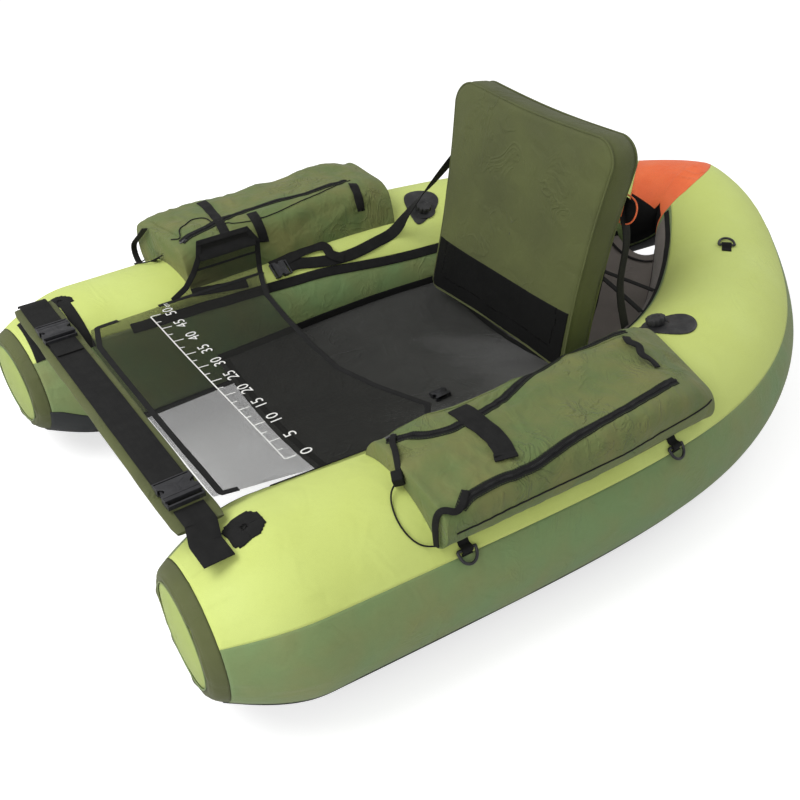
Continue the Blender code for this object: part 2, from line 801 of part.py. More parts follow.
def build_apron(paint, pivot):
    """The lap apron is held by the bar. Its far side meets a flap that stands against the right bag."""
    for name, rows, holder in (("apron", apron_rows, pivot), ("apron_flap", flap_rows, None)):
        top = apron_grid(rows)
        drop = np.array([0, 0, apron_thickness]) if holder else np.array([apron_thickness, 0, apron_thickness / 2])
        under = [[point - drop for point in row] for row in top]
        thick_sheet(name, top, under, paint["mesh"], holder)


# Backrest

def backrest_axes():
    up = np.array([0, math.sin(backrest_lean), math.cos(backrest_lean)])
    rearward = np.array([0, math.cos(backrest_lean), -math.sin(backrest_lean)])
    return np.array([1, 0, 0]), up, rearward


def backrest_place(across, height, depth):
    """A point of the backrest from its foot: across X, up its face and back from its face."""
    side, up, rearward = backrest_axes()
    return np.array([0, backrest_foot_y, backrest_foot_z]) + side * across + up * height + rearward * depth


def cushion_loop(inset, depth):
    """The cushion's outline, drawn in between its corners, at an inset from its edge and a depth from its face."""
    half = backrest_width / 2
    middle = backrest_height / 2
    top, foot = backrest_corner, backrest_foot_corner
    corners = ((1, 1, top), (-1, 1, top), (-1, -1, foot), (1, -1, foot))
    arcs = []
    for quarter, (side, rise, radius) in enumerate(corners):
        arc_radius = max(radius - inset, radius / 4)
        hub = np.array([side * (half - inset - arc_radius), middle + rise * (middle - inset - arc_radius)])
        bearings = [math.radians(90 * quarter + turn) for turn in (0, 30, 60, 90)]
        arcs.append([hub + arc_radius * np.array([math.cos(bearing), math.sin(bearing)]) for bearing in bearings])
    loop = []
    for quarter, arc in enumerate(arcs):
        loop += arc
        start, end = arc[-1], arcs[(quarter + 1) % 4][0]
        axis = 1 - quarter % 2
        for share in (0.25, 0.5, 0.75):
            point = start + (end - start) * share
            centre = (0, middle)[axis]
            point[axis] += math.copysign(backrest_draw_in * math.sin(math.pi * share), centre - point[axis])
            loop.append(point)
    placed = []
    for x, z in loop:
        waist = 1 - backrest_waist / half * max(1 - z / middle, 0)
        placed.append(backrest_place(x * waist, z, depth))
    return placed


def cushion_shell(name, skin_inset, wall, opening_inset, crown_steps, material, pivot):
    """A crowned cushion's skin, open in its back at the opening's inset. crown_steps picks how many loops its crown has."""
    edge = backrest_edge_round
    depth = backrest_thickness

    def loops(shrink):
        crown = backrest_crown
        inset_shares = ((0.80, 1.0), (0.55, 0.96), (0.30, 0.78), (0.12, 0.42))[::crown_steps]
        half = backrest_width / 2
        result = []
        for share, rise in inset_shares:
            result.append((share * half, -crown * rise + shrink))
        result += [(edge * 0.3 + shrink, shrink), (shrink, edge + shrink)]
        result += [(shrink, depth - edge - shrink), (edge * 0.3 + shrink, depth - shrink)]
        result.append((opening_inset, depth + crown * 0.4 - shrink))
        return [cushion_loop(inset, place) for inset, place in result]

    outer, inner = loops(skin_inset), loops(skin_inset + wall)
    rows, columns = len(outer), len(outer[0])
    size = rows * columns
    points = [point for row in outer for point in row] + [point for row in inner for point in row]
    faces = grid_faces(rows, columns, 0, False, True) + grid_faces(rows, columns, size, True, True)
    faces.append(list(range(columns))[::-1])
    faces.append([size + index for index in range(columns)])
    low = (rows - 1) * columns
    for index in range(columns):
        beside = (index + 1) % columns
        faces.append([low + index, low + beside, size + low + beside, size + low + index])
    return make_solid(name, points, faces, material, pivot)


def build_backrest(paint):
    pivot = make_empty("backrest_fold", (0, backrest_foot_y, backrest_foot_z))
    cushion_shell("backrest_cover", 0, backrest_skin, backrest_opening_margin, 1, paint["olive"], pivot)
    bladder_inset = backrest_skin + layer_gap
    hole = backrest_width / 2 - backrest_valve_hole
    cushion_shell("backrest_bladder", bladder_inset, bladder_thickness, hole, 2, paint["orange"], pivot)
    rearward = backrest_axes()[2]
    rows = []
    for height in np.linspace(pocket_foot, pocket_foot + pocket_height, 6):
        climb = (height - pocket_foot) / pocket_height
        row = []
        for across in np.linspace(-1, 1, 9):
            bulge = pocket_bulge * (1 - across**2) * math.sin(math.pi * (0.25 + 0.6 * climb))
            depth = backrest_thickness + backrest_crown * 0.22 + layer_gap + bulge
            row.append(backrest_place(across * pocket_width / 2, height, depth))
        rows.append(row)
    outer = [[point + rearward * pocket_thickness for point in row] for row in rows]
    thick_sheet("rear_pocket", outer, rows, paint["mesh"], pivot)
    return pivot


def surface_rise(trees, point, look, along, width):
    """How far a surface stands out past a point, towards its look, under webbing or a buckle of this width."""
    look = look / np.linalg.norm(look)
    side = np.cross(along, look)
    side *= width / np.linalg.norm(side)
    rises = []
    for share in np.linspace(-0.5, 0.5, 9):
        start = point + side * share + look * width
        for tree in trees:
            distance = tree.ray_cast(Vector(start), Vector(-look), width * 2)[3]
            if distance is not None:
                rises.append(width - distance)
    return max(rises)


def build_braces(paint):
    """The right brace is buckled and taut. The left one hangs slack behind, and its socket lies loose on the seat."""
    half = backrest_width / 2
    rest = rest_gap + webbing_thickness / 2
    walls = trees_of(["top_cover_right", "lower_cover_right"])
    joint = hull_point(-brace_buckle_run, brace_buckle_angle, 0)
    ahead = hull_point(-brace_buckle_run - brace_buckle[0], brace_buckle_angle, 0) - joint
    ahead /= np.linalg.norm(ahead)
    normal = hull_normal(-brace_buckle_run, brace_buckle_angle)
    normal -= ahead * np.dot(normal, ahead)
    normal /= np.linalg.norm(normal)
    spots = [joint + ahead * brace_buckle[0] * share for share in (-1, -0.5, 0, 0.5, 1, 1.5, 2)]
    highest = max(surface_rise(walls, spot, normal, ahead, brace_buckle[1]) for spot in spots)
    joint += normal * (highest + rest_gap + brace_buckle[2] / 2)
    route = [hull_point(-run, angle, 0) for run, angle in brace_route]
    side = backrest_axes()[0]
    head = backrest_place(-half, brace_head_height, backrest_thickness * 0.5)
    cover = trees_of(["backrest_cover"])
    head -= side * (surface_rise(cover, head, -side, route[0] - head, brace_width * 1.5) + rest + layer_gap)
    looks = [hull_normal(-run, angle) for run, angle in brace_route]
    for index, look in enumerate(looks):
        along = route[min(index + 1, len(route) - 1)] - route[max(index - 1, 0)]
        route[index] = route[index] + look * (surface_rise(walls, route[index], look, along, brace_width) + rest)
    tail = brace_buckle[0] * (1 - buckle_prong_share) + buckle_wall + buckle_fit + contact_gap
    shares = (0, 0.25, 0.5, 0.75)
    path = [head + (route[0] - head) * share for share in shares] + route
    path += [joint - ahead * (tail + contact_gap * reach) for reach in (20, 1)]
    side_look = np.array([-1, 0, 0.2])
    looks = [side_look + (looks[0] - side_look) * share for share in shares] + looks + [normal, normal]
    strap("brace_strap_right", path, looks, brace_width, webbing_thickness, paint["webbing"])
    pivot = make_empty("brace_release", joint)
    buckle_pair("brace_buckle_right", joint, ahead, normal, brace_buckle, paint, None, pivot)
    print(f"brace release: pivot {np.round(joint, 4)}, axis {np.round(ahead, 4)}")
    head = backrest_place(half * 0.82, rear_brace_head_height, backrest_thickness + backrest_crown * 0.88 + rest)
    foot = hull_point(rear_brace_run, rear_brace_angle, rest + brace_width * 0.22)
    sway = np.array([brace_width * 0.6, brace_width * 0.8, 0])
    path = smooth_path([head, head + (foot - head) * 0.3 + sway, head + (foot - head) * 0.65 - sway * 0.3, foot], 9)
    strap("brace_strap_left", path, [(0.5, 0.85, 0.1)] * 9, brace_width, webbing_thickness, paint["webbing"])
    seat = trees_of(["seat_sling"])
    place, look = drape(seat, loose_buckle_x, loose_buckle_y, brace_buckle[2] / 2 + rest_gap)
    ahead = np.cross(look, [0, 1, 0])
    ahead /= np.linalg.norm(ahead)
    axes = np.array([ahead, np.cross(look, ahead), look])
    socket = rounded_block("loose_socket_left", brace_buckle, place, axes, buckle_corner, paint["plastic"])
    length, width, height = brace_buckle
    pocket = (length * buckle_prong_share * 2, width - buckle_wall * 2, height - buckle_wall * 2)
    cut(socket, rounded_block("loose_pocket_left", pocket, place - ahead * length / 2, axes, 0, paint["plastic"]))


def buckle_pair(name, joint, ahead, normal, size, paint, male_pivot=None, female_pivot=None):
    """A side-release buckle. The socket lies ahead of the joint's place and the plug behind it, prongs inside."""
    length, width, height = size
    side = np.cross(normal, ahead)
    axes = np.array([ahead, side, normal])
    fit = buckle_fit
    centre = joint + ahead * length / 2
    female = rounded_block(f"{name}_socket", (length, width, height), centre, axes, buckle_corner, paint["plastic"], female_pivot)
    prong = length * buckle_prong_share
    pocket = (prong * 2 + fit * 2, width - buckle_wall * 2, height - buckle_wall * 2)
    cut(female, rounded_block(f"{name}_pocket", pocket, joint, axes, 0, paint["plastic"], female_pivot))
    slot = (length * buckle_slot_share, width - buckle_wall * 2.5, height * 2)
    slot_place = joint + ahead * (length - buckle_wall - slot[0] / 2)
    cut(female, rounded_block(f"{name}_bar_slot", slot, slot_place, axes, 0, paint["plastic"], female_pivot))
    body = length * (1 - buckle_prong_share) + buckle_wall
    place = joint - ahead * (body / 2 + fit)
    male = rounded_block(f"{name}_plug", (body, width, height), place, axes, buckle_corner, paint["plastic"], male_pivot)
    tongue = (prong + body / 2, pocket[1] - fit * 2, pocket[2] - fit * 2)
    tongue_place = joint - ahead * fit + ahead * (prong - tongue[0] / 2)
    cut(male, rounded_block(f"{name}_tongue", tongue, tongue_place, axes, 0, paint["plastic"], male_pivot), "UNION")
    slot = (body * 0.35, width - buckle_wall * 2.5, height * 2)
    cut(male, rounded_block(f"{name}_web_slot", slot, place - ahead * body * 0.18, axes, 0, paint["plastic"], male_pivot))
    return female, male


# Spreader bar

def build_bar(paint):
    crown = max(hull_point(sign * run, 90, 0)[2] for sign in (1, -1) for run in run_lines
                if abs(hull_point(run, 90, 0)[1] - bar_y) < bar_sleeve_width)
    under = crown + bar_lift_over_hull
    middle = under + bar_sleeve_height / 2
    top = under + bar_sleeve_height
    buckle_rise = top + layer_gap * 2 + webbing_thickness + bar_buckle[2] / 2
    right_joint = (right_buckle_x, bar_y, buckle_rise)
    left_joint = (left_buckle_x + bar_buckle[0], bar_y, buckle_rise)
    lift_pivot = make_empty("bar_lift", (anchor_hinge_x, bar_y, under))
    right_pivot = make_empty("right_release", right_joint, lift_pivot)
    left_pivot = make_empty("left_release", left_joint, lift_pivot)

    def section(x, width, height):
        half_w, half_h = width / 2, height / 2
        chamfer = min(half_h * 0.9, half_w * 0.5)
        loop = []
        for side, (a, b) in enumerate(((1, 1), (-1, 1), (-1, -1), (1, -1))):
            first = (a * half_w, b * (half_h - chamfer * 0.5))
            second = (a * (half_w - chamfer), b * half_h)
            pair = (first, second) if side % 2 == 0 else (second, first)
            loop += [np.array([x, bar_y + y, middle + z]) for y, z in pair]
        return loop

    ends = np.linspace(bar_right_end, bar_left_end, 5)
    outer = [section(x, bar_sleeve_width, bar_sleeve_height) for x in ends]
    hollow = bar_sleeve_wall * 2
    inner = [section(x, bar_sleeve_width - hollow, bar_sleeve_height - hollow) for x in ends]
    thick_sheet("bar_sleeve", outer, inner, paint["olive"], lift_pivot, closed=True)
    length = bar_left_end - bar_right_end - batten_end_margin * 2
    axes = np.eye(3)
    centre = ((bar_left_end + bar_right_end) / 2, bar_y, under + bar_sleeve_wall + contact_gap + batten_height / 2)
    rounded_block("bar_batten", (length, batten_width, batten_height), centre, axes, batten_corner, paint["foam"], lift_pivot)
    web_start = right_joint[0] + contact_gap
    web_end = left_joint[0] - contact_gap
    height = top + layer_gap + webbing_thickness / 2
    path = [np.array([x, bar_y, height]) for x in np.linspace(web_start, web_end, 4)]
    strap("bar_webbing", path, [(0, 0, 1)] * 4, bar_web_width, webbing_thickness, paint["webbing"], lift_pivot)
    up = np.array([0, 0, 1.0])
    pairs = (("right", right_joint, 1.0, right_pivot), ("left", left_joint, -1.0, left_pivot))
    for side, joint, ahead, plug_pivot in pairs:
        place, towards = np.array(joint), np.array([ahead, 0, 0])
        buckle_pair(f"bar_buckle_{side}", place, towards, up, bar_buckle, paint, plug_pivot, lift_pivot)
    body = bar_buckle[0] * (1 - buckle_prong_share) + buckle_wall + buckle_fit + contact_gap
    hull_top = trees_of([f"{cover}_{side}" for cover in ("top_cover", "tip_collar", "lower_cover") for side in ("left", "right")])
    flat = top + layer_gap
    draped_webbing("anchor_tab_left", left_joint[0] + body, anchor_tab_end, bar_left_end + contact_gap * 4, flat, hull_top,
                   bar_release_travel * 2, paint["webbing"], left_pivot)
    spots = ((right_joint[0] - contact_gap, height), (bar_right_end - contact_gap * 2, height),
             (anchor_hinge_x + webbing_thickness, (height + under) / 2), (anchor_hinge_x, under + webbing_thickness))
    path = [np.array([x, bar_y, z]) for x, z in spots]
    looks = [(0, 0, 1), (-0.4, 0, 1), (-1, 0, 0.4), (-1, 0, 0)]
    strap("anchor_webbing_right", path, looks, bar_web_width, webbing_thickness, paint["webbing"], lift_pivot)
    print(f"bar lift pivot {np.round(lift_pivot.matrix_world.translation, 4)}, bar underside {under:.4f}")
    return lift_pivot


def trees_of(names):
    """Each named object's surface in world space, for rays."""
    graph = bpy.context.evaluated_depsgraph_get()
    trees = []
    for name in names:
        solid = bpy.data.objects[name].evaluated_get(graph)
        mesh = solid.to_mesh()
        mesh.calc_loop_triangles()
        places = [solid.matrix_world @ vertex.co for vertex in mesh.vertices]
        trees.append(BVHTree.FromPolygons(places, [list(face.vertices) for face in mesh.loop_triangles]))
        solid.to_mesh_clear()
    return trees


def drape(trees, x, y, lift):
    """The highest surface point over a place in plan, and its normal, lifted by an amount. Seams are looked past."""
    best, look = None, None
    for tree in trees:
        for beside in (-seam_gap, 0, seam_gap):
            hit, normal, _, _ = tree.ray_cast(Vector((x, y + beside, hull_length)), Vector((0, 0, -1)))
            if hit is not None and (best is None or hit.z > best.z):
                best, look = hit, normal
    return np.array([x, y, best.z + lift]), np.array(look)


def draped_webbing(name, start, end, flat_until, flat_height, trees, clear_travel, material, pivot):
    """Webbing across the boat that leaves the bar flat and then rests on the hull, clear of it through its travel."""
    away = math.copysign(1, end - start)
    grid = []
    for x in [start, *np.linspace(flat_until, end, 9)]:
        row = []
        for y in bar_y + bar_web_width / 2 * np.linspace(-1, 1, 5):
            if abs(x - start) <= abs(flat_until - start):
                height = flat_height
            else:
                steps = [x + away * clear_travel * share for share in (0, 0.25, 0.5, 0.75, 1)]
                ahead = [drape(trees, step, y, patch_allowance)[0][2] for step in steps]
                leave = min(abs(x - flat_until) / abs(end - flat_until) * 2.2, 1)
                height = max(*ahead, flat_height + (min(ahead) - flat_height) * leave)
            row.append(np.array([x, y, height]))
        grid.append(row)
    top = [[point + np.array([0, 0, webbing_thickness]) for point in row] for row in grid]
    thick_sheet(name, top, grid, material, pivot)


# Side bags

def bag_section(sign, share, back_runs, height, squeeze):
    """The bag's outline at a share of its length from its rear: its base lies on the tube and its top is a soft box.
    back_runs holds where its rear end starts at its inner and its outer edge."""
    angles = lines_between(angle_lines, bag_outer_angle, bag_inner_angle)
    base = []
    for angle in angles:
        outward = (bag_inner_angle - angle) / (bag_inner_angle - bag_outer_angle)
        back = back_runs[0] + (back_runs[1] - back_runs[0]) * outward
        base.append(hull_point(sign * (back + (bag_front_run - back) * share), angle, bag_base_gap))
    outer_foot, inner_foot = base[0], base[-1]
    crown = max(point[2] for point in base)
    across = inner_foot - outer_foot
    top_shares = (
        (0.985, 0.22), (0.940, 0.58), (0.870, 0.88), (0.770, 1.0), (0.550, 1.01),
        (0.300, 0.98), (0.090, 0.91), (-0.050, 0.76), (-0.105, 0.46), (-0.060, 0.16),
    )
    top = []
    for place, rise in top_shares:
        point = outer_foot + across * place
        point[2] += (crown + height * squeeze - point[2]) * rise
        top.append(point)
    return base + top


def build_bags(paint):
    sides = (
        ("left", 1, left_bag_height, left_bag_back_runs, left_bag_fall_share, left_bag_rear_share),
        ("right", -1, right_bag_height, right_bag_back_runs, right_bag_fall_share, right_bag_rear_share),
    )
    for side, sign, height, back_runs, fall_share, rear_share in sides:
        length = bag_front_run - sum(back_runs) / 2
        inset = bag_end_round / length
        sections = []
        for share in (0, inset, *np.linspace(inset * 2, 1 - inset * 2, 9), 1 - inset, 1):
            end_share = min(share, 1 - share, inset * 2) / (inset * 2)
            squeeze = (1 - fall_share * share**2) * (bag_end_share + (1 - bag_end_share) * math.sqrt(end_share))
            squeeze *= rear_share + (1 - rear_share) * math.sin(math.pi / 2 * min(share / bag_rear_reach, 1))
            sections.append(bag_section(sign, share, back_runs, height, squeeze))
        loft(f"side_bag_{side}", sections, paint["bag"], smooth_angle=50)


def build_bag_details(paint):
    for side, sign in (("left", 1), ("right", -1)):
        surface = trees_of([f"side_bag_{side}"])
        places = (("inner", 0.20), ("outer", 1.03)) if sign > 0 else (("inner", 0.24),)
        for label, across in places:
            build_slider(f"zip_slider_{side}_{label}", surface, sign, across, paint)


def build_slider(name, surface, sign, across, paint):
    """A zip's slider near its bag's front end."""
    run = bag_front_run - slider_setback

    def place(at_run):
        inner = hull_point(sign * at_run, bag_inner_angle, bag_base_gap)
        outer = hull_point(sign * at_run, bag_outer_angle, bag_base_gap)
        plan = inner + (outer - inner) * across
        return drape(surface, plan[0], plan[1], 0)

    here, normal = place(run)
    behind, _ = place(run - slider_length * 2)
    along = behind - here
    along -= normal * np.dot(along, normal)
    along /= np.linalg.norm(along)
    axes = np.array([along, np.cross(normal, along), normal])
    centre = here + normal * (rest_gap + slider_height / 2)
    pivot = make_empty(f"{name}_axis", centre)
    size = (slider_length, slider_width, slider_height)
    rounded_block(name, size, centre, axes, slider_width * 0.12, paint["metal"], pivot)
    print(f"{name}: centre {np.round(centre, 4)}, along {np.round(along, 4)}, normal {np.round(normal, 4)}")


# D-rings

def build_rings(paint):
    """D-rings that swing in a loop of webbing sewn to the hull above and below their straight bar."""
    places = (
        ("left_front", ring_front_run, ring_side_angle, 0, -1), ("left_rear", ring_rear_run, ring_side_angle, 0, -1),
        ("right_front", -ring_front_run, ring_side_angle, 0, -1), ("right_rear", -ring_rear_run, ring_side_angle, 0, -1),
        ("stern", ring_stern_run, ring_stern_angle, -1, 0),
    )
    gap = ring_wire + tab_loop_clearance
    lift = rest_gap + tab_thickness / 2
    radius = gap + tab_thickness / 2
    for name, run, angle, run_step, angle_step in places:
        turn_per_length = math.degrees(1 / tube_frame(run)[2])

        def place(distance, rise):
            return hull_point(run + run_step * distance, angle + angle_step * distance * turn_per_length, rise)

        normal = hull_normal(run, angle)
        down = place(tab_width, 0) - place(0, 0)
        down -= normal * np.dot(down, normal)
        down /= np.linalg.norm(down)
        along = np.cross(down, normal)
        bar = place(0, rest_gap) + normal * gap
        pivot = make_empty(f"ring_axis_{name}", bar)
        half, reach = ring_radius, ring_radius * ring_depth_share
        loop = [bar - along * half * share for share in (1, 0.5, 0, -0.5, -1)]
        for turn in range(20, 180, 20):
            bearing = math.radians(turn)
            swell = math.sin(bearing)
            bow = down * reach * swell**0.8 + normal * ring_tilt_share * reach * swell
            loop.append(bar + along * half * math.cos(bearing) + bow)
        wire(f"d_ring_{name}", loop, ring_wire, paint["plastic"], cyclic=True, resolution=1, pivot=pivot)
        path, looks = [], []
        for share in (1, 0.2):
            path.append(place(-radius * 1.3 - tab_length * share, lift))
            looks.append(normal)
        for turn in (25, 60, 90, 120, 155):
            bearing = math.radians(turn)
            look = -down * math.cos(bearing) + normal * math.sin(bearing)
            path.append(bar + look * radius)
            looks.append(look)
        for share in (0.05, 0.6):
            path.append(place(radius * 1.3 + tab_length * share, lift))
            looks.append(normal)
        strap(f"ring_tab_{name}", path, looks, tab_width, tab_thickness, paint["webbing"])
        print(f"ring {name}: pivot {np.round(bar, 4)}, axis {np.round(along, 4)}")


def build_cords(paint):
    """An elastic loop hangs in front of each bag, between its two zips."""
    for side, sign in (("left", 1), ("right", -1)):
        points = smooth_path([hull_point(sign * run, angle, lift) for run, angle, lift in bag_cord_route], 26)
        wire(f"bag_loop_{side}", points, bag_cord_radius, paint["webbing"])
        length = np.linalg.norm(np.diff(points, axis=0), axis=1).sum()
        print(f"bag loop {side}: {length:.3f} m")


def main():
    clear_scene()
    paint = {
        "lime": make_material("lime_cloth", (0.60, 0.69, 0.20), 0.75),
        "olive": make_material("olive_cloth", (0.20, 0.29, 0.10), 0.8),
        "orange": make_material("orange_cloth", (0.90, 0.16, 0.04), 0.75),
        "bag": make_material("bag_cloth", (0.19, 0.23, 0.09), 0.8),
        "sole": make_material("sole_cloth", (0.05, 0.06, 0.06), 0.7),
        "bladder": make_material("bladder_film", (0.75, 0.75, 0.72), 0.4),
        "mesh": make_material("dark_mesh", (0.06, 0.06, 0.06), 0.85),
        "webbing": make_material("black_webbing", (0.025, 0.025, 0.027), 0.8),
        "black": make_material("valve_rubber", (0.03, 0.03, 0.03), 0.5),
        "plastic": make_material("black_plastic", (0.03, 0.03, 0.035), 0.4),
        "foam": make_material("grey_foam", (0.3, 0.3, 0.3), 0.9),
        "metal": make_material("dark_metal", (0.2, 0.2, 0.2), 0.35, 1.0),
    }
    build_hull(paint)
    build_valves(paint)
    build_slings(paint)
    build_backrest(paint)
    build_braces(paint)
    bar_pivot = build_bar(paint)
    build_apron(paint, bar_pivot)
    build_bags(paint)
    build_bag_details(paint)
    build_rings(paint)
    build_cords(paint)


main()
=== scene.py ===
# Float tube for one rider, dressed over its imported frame: cloth covers, mesh seat and apron, bags and fittings.
# Metres, +Z up. The rider faces -Y and the left side is +X. A run is a distance along the hull's centreline from the
# middle of the stern, positive towards the left tip. An angle goes round the tube: 0 outwards, 90 up, 180 inwards.
import itertools
import math

import bmesh
import bpy
import numpy as np
from mathutils import Matrix, Vector
from mathutils.bvhtree import BVHTree


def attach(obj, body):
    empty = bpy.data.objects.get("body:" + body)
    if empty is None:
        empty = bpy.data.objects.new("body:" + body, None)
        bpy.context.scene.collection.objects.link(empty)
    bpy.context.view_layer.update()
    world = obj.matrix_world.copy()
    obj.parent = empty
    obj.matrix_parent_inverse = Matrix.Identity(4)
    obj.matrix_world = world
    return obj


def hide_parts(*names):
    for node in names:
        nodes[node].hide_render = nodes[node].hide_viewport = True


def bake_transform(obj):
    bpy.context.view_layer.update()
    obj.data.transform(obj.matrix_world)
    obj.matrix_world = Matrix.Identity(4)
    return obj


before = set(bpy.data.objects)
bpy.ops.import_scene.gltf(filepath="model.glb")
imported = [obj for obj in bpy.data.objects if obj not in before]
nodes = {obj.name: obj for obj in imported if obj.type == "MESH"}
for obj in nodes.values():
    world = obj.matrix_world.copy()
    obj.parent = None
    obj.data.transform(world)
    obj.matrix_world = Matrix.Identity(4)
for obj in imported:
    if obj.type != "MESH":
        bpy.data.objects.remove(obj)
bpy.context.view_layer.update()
print("frame loaded:", len(nodes), "nodes")


def newObject(name, data):
    item = bpy.data.objects.new(name, data)
    bpy.context.scene.collection.objects.link(item)
    return item


# Camera

cameraSetup = {
    "place": (1.2554, -0.9985, 1.187),
    "azimuth": 55.35,
    "elevation": 36.33,
    "roll": -0.635,
    "focalPixels": 960.5,
    "imagePixels": 800,
    "sensor": 36.0,
    "shiftPixels": 2,
    "clip": (0.05, 40),
}


def makeCamera(setup):
    data = bpy.data.cameras.new("camera")
    data.sensor_width = setup["sensor"]
    data.lens = setup["focalPixels"] / setup["imagePixels"] * setup["sensor"]
    data.shift_y = -setup["shiftPixels"] / setup["imagePixels"]
    data.clip_start, data.clip_end = setup["clip"]
    azimuth, elevation, roll = (math.radians(setup[key]) for key in ("azimuth", "elevation", "roll"))
    back = Vector((math.sin(azimuth) * math.cos(elevation), -math.cos(azimuth) * math.cos(elevation),
                   math.sin(elevation)))
    level = Vector((math.cos(azimuth), math.sin(azimuth), 0))
    rise = back.cross(level)
    right = level * math.cos(roll) + rise * math.sin(roll)
    up = rise * math.cos(roll) - level * math.sin(roll)
    item = newObject("camera", data)
    item.matrix_world = Matrix((right, up, back)).transposed().to_4x4()
    item.location = setup["place"]
    bpy.context.scene.camera = item


makeCamera(cameraSetup)
print("camera placed")


# Node helpers

def addNode(tree, kind, links=None, **settings):
    # A node with its settings, and its inputs linked or set. Gives its outputs
    node = tree.nodes.new(kind)
    for key, value in settings.items():
        setattr(node, key, value)
    for key, value in (links or {}).items():
        if isinstance(value, bpy.types.NodeSocket):
            tree.links.new(value, node.inputs[key])
        else:
            node.inputs[key].default_value = value
    return node.outputs


def calc(tree, operation, *values):
    return addNode(tree, "ShaderNodeMath", dict(enumerate(values)), operation=operation)[0]


def makeGroup(name, inputs, outputs, kind="ShaderNodeTree"):
    # An input is given by its kind of socket, or by the number or truth value that it starts with
    tree = bpy.data.node_groups.new(name, kind)
    for label, value in inputs.items():
        socket = value if isinstance(value, str) else "Bool" if isinstance(value, bool) else "Float"
        made = tree.interface.new_socket(label, in_out="INPUT", socket_type="NodeSocket" + socket)
        if socket != value:
            made.default_value = value
    for label, socket in outputs.items():
        tree.interface.new_socket(label, in_out="OUTPUT", socket_type="NodeSocket" + socket)
    return tree, tree.nodes.new("NodeGroupInput").outputs, tree.nodes.new("NodeGroupOutput").inputs


def smoothNoise(tree, vector, scale, detail=2.0, rough=0.5, distortion=0.0):
    links = {"Vector": vector, "Scale": scale, "Detail": detail, "Roughness": rough, "Distortion": distortion}
    return addNode(tree, "ShaderNodeTexNoise", links)["Fac"]


def remap(tree, value, low, high, newLow, newHigh):
    links = {"Value": value, "From Min": low, "From Max": high, "To Min": newLow, "To Max": newHigh}
    return addNode(tree, "ShaderNodeMapRange", links)["Result"]


def blendColor(tree, factor, first, second):
    return addNode(tree, "ShaderNodeMix", {0: factor, 6: first, 7: second}, data_type="RGBA")[2]


def crossWaves(tree, vector, turns):
    # A sine along each of a map's two axes
    parts = addNode(tree, "ShaderNodeSeparateXYZ", {0: vector})
    return [calc(tree, "SINE", calc(tree, "MULTIPLY", parts[axis], turns)) for axis in (0, 1)]


# Shader groups shared by the cloths, meshes, webbing and plastics

def weaveGroup():
    # Plain weave: warp and weft pass over each other in turn, on a map in metres
    tree, given, result = makeGroup("weave", {"Vector": "Vector", "Threads": 900.0}, {"Height": "Float"})
    across, along = crossWaves(tree, given["Vector"], calc(tree, "MULTIPLY", given["Threads"], math.pi))
    over = calc(tree, "GREATER_THAN", calc(tree, "MULTIPLY", across, along), 0.0)
    first, second = calc(tree, "ABSOLUTE", across), calc(tree, "ABSOLUTE", along)
    gap = calc(tree, "SUBTRACT", first, second)
    tree.links.new(calc(tree, "ADD", second, calc(tree, "MULTIPLY", gap, over)), result["Height"])
    return tree


def mottleGroup():
    # Uneven dye: a broad drift between two tones and small darker flecks
    inputs = {"Vector": "Vector", "Tone": "Color", "Second Tone": "Color", "Fleck Tone": "Color", "Size": 0.1,
              "Fleck": 0.1}
    tree, given, result = makeGroup("mottle", inputs, {"Color": "Color"})
    scale = calc(tree, "DIVIDE", 1.0, given["Size"])
    drift = remap(tree, smoothNoise(tree, given["Vector"], scale, 2.0, 0.55), 0.34, 0.68, 0.0, 1.0)
    color = blendColor(tree, drift, given["Tone"], given["Second Tone"])
    fine = smoothNoise(tree, given["Vector"], calc(tree, "MULTIPLY", scale, 23.0), 3.0, 0.6)
    fleck = calc(tree, "MULTIPLY", remap(tree, fine, 0.5, 0.8, 0.0, 1.0), given["Fleck"])
    tree.links.new(blendColor(tree, fleck, color, given["Fleck Tone"]), result["Color"])
    return tree


def creaseGroup():
    # Soft folds and sharper handling creases, as a height
    tree, given, result = makeGroup("crease", {"Vector": "Vector", "Size": 0.03, "Sharp": 0.5}, {"Height": "Float"})
    scale = calc(tree, "DIVIDE", 1.0, given["Size"])
    soft = smoothNoise(tree, given["Vector"], scale, 2.0, 0.5, 0.6)
    bend = smoothNoise(tree, given["Vector"], calc(tree, "MULTIPLY", scale, 0.6), 3.0, 0.55, 1.4)
    ridge = calc(tree, "ABSOLUTE", calc(tree, "SUBTRACT", bend, 0.5))
    line = remap(tree, ridge, 0.0, 0.06, 1.0, 0.0)
    patches = smoothNoise(tree, given["Vector"], calc(tree, "MULTIPLY", scale, 0.35), 1.0)
    mask = remap(tree, patches, 0.5, 0.66, 0.0, 1.0)
    sharp = calc(tree, "MULTIPLY", calc(tree, "MULTIPLY", line, mask), given["Sharp"])
    tree.links.new(calc(tree, "ADD", soft, sharp), result["Height"])
    return tree


def meshHoleGroup():
    # Square mesh with round-cornered holes: how much thread covers a place, and its height
    inputs = {"Vector": "Vector", "Pitch": 0.0016, "Cover": 0.7}
    tree, given, result = makeGroup("mesh_holes", inputs, {"Alpha": "Float", "Height": "Float"})
    waves = crossWaves(tree, given["Vector"], calc(tree, "DIVIDE", math.pi, given["Pitch"]))
    inside = calc(tree, "MULTIPLY", *(calc(tree, "ABSOLUTE", wave) for wave in waves))
    tree.links.new(calc(tree, "LESS_THAN", inside, given["Cover"]), result["Alpha"])
    tree.links.new(calc(tree, "SUBTRACT", 1.0, inside), result["Height"])
    return tree


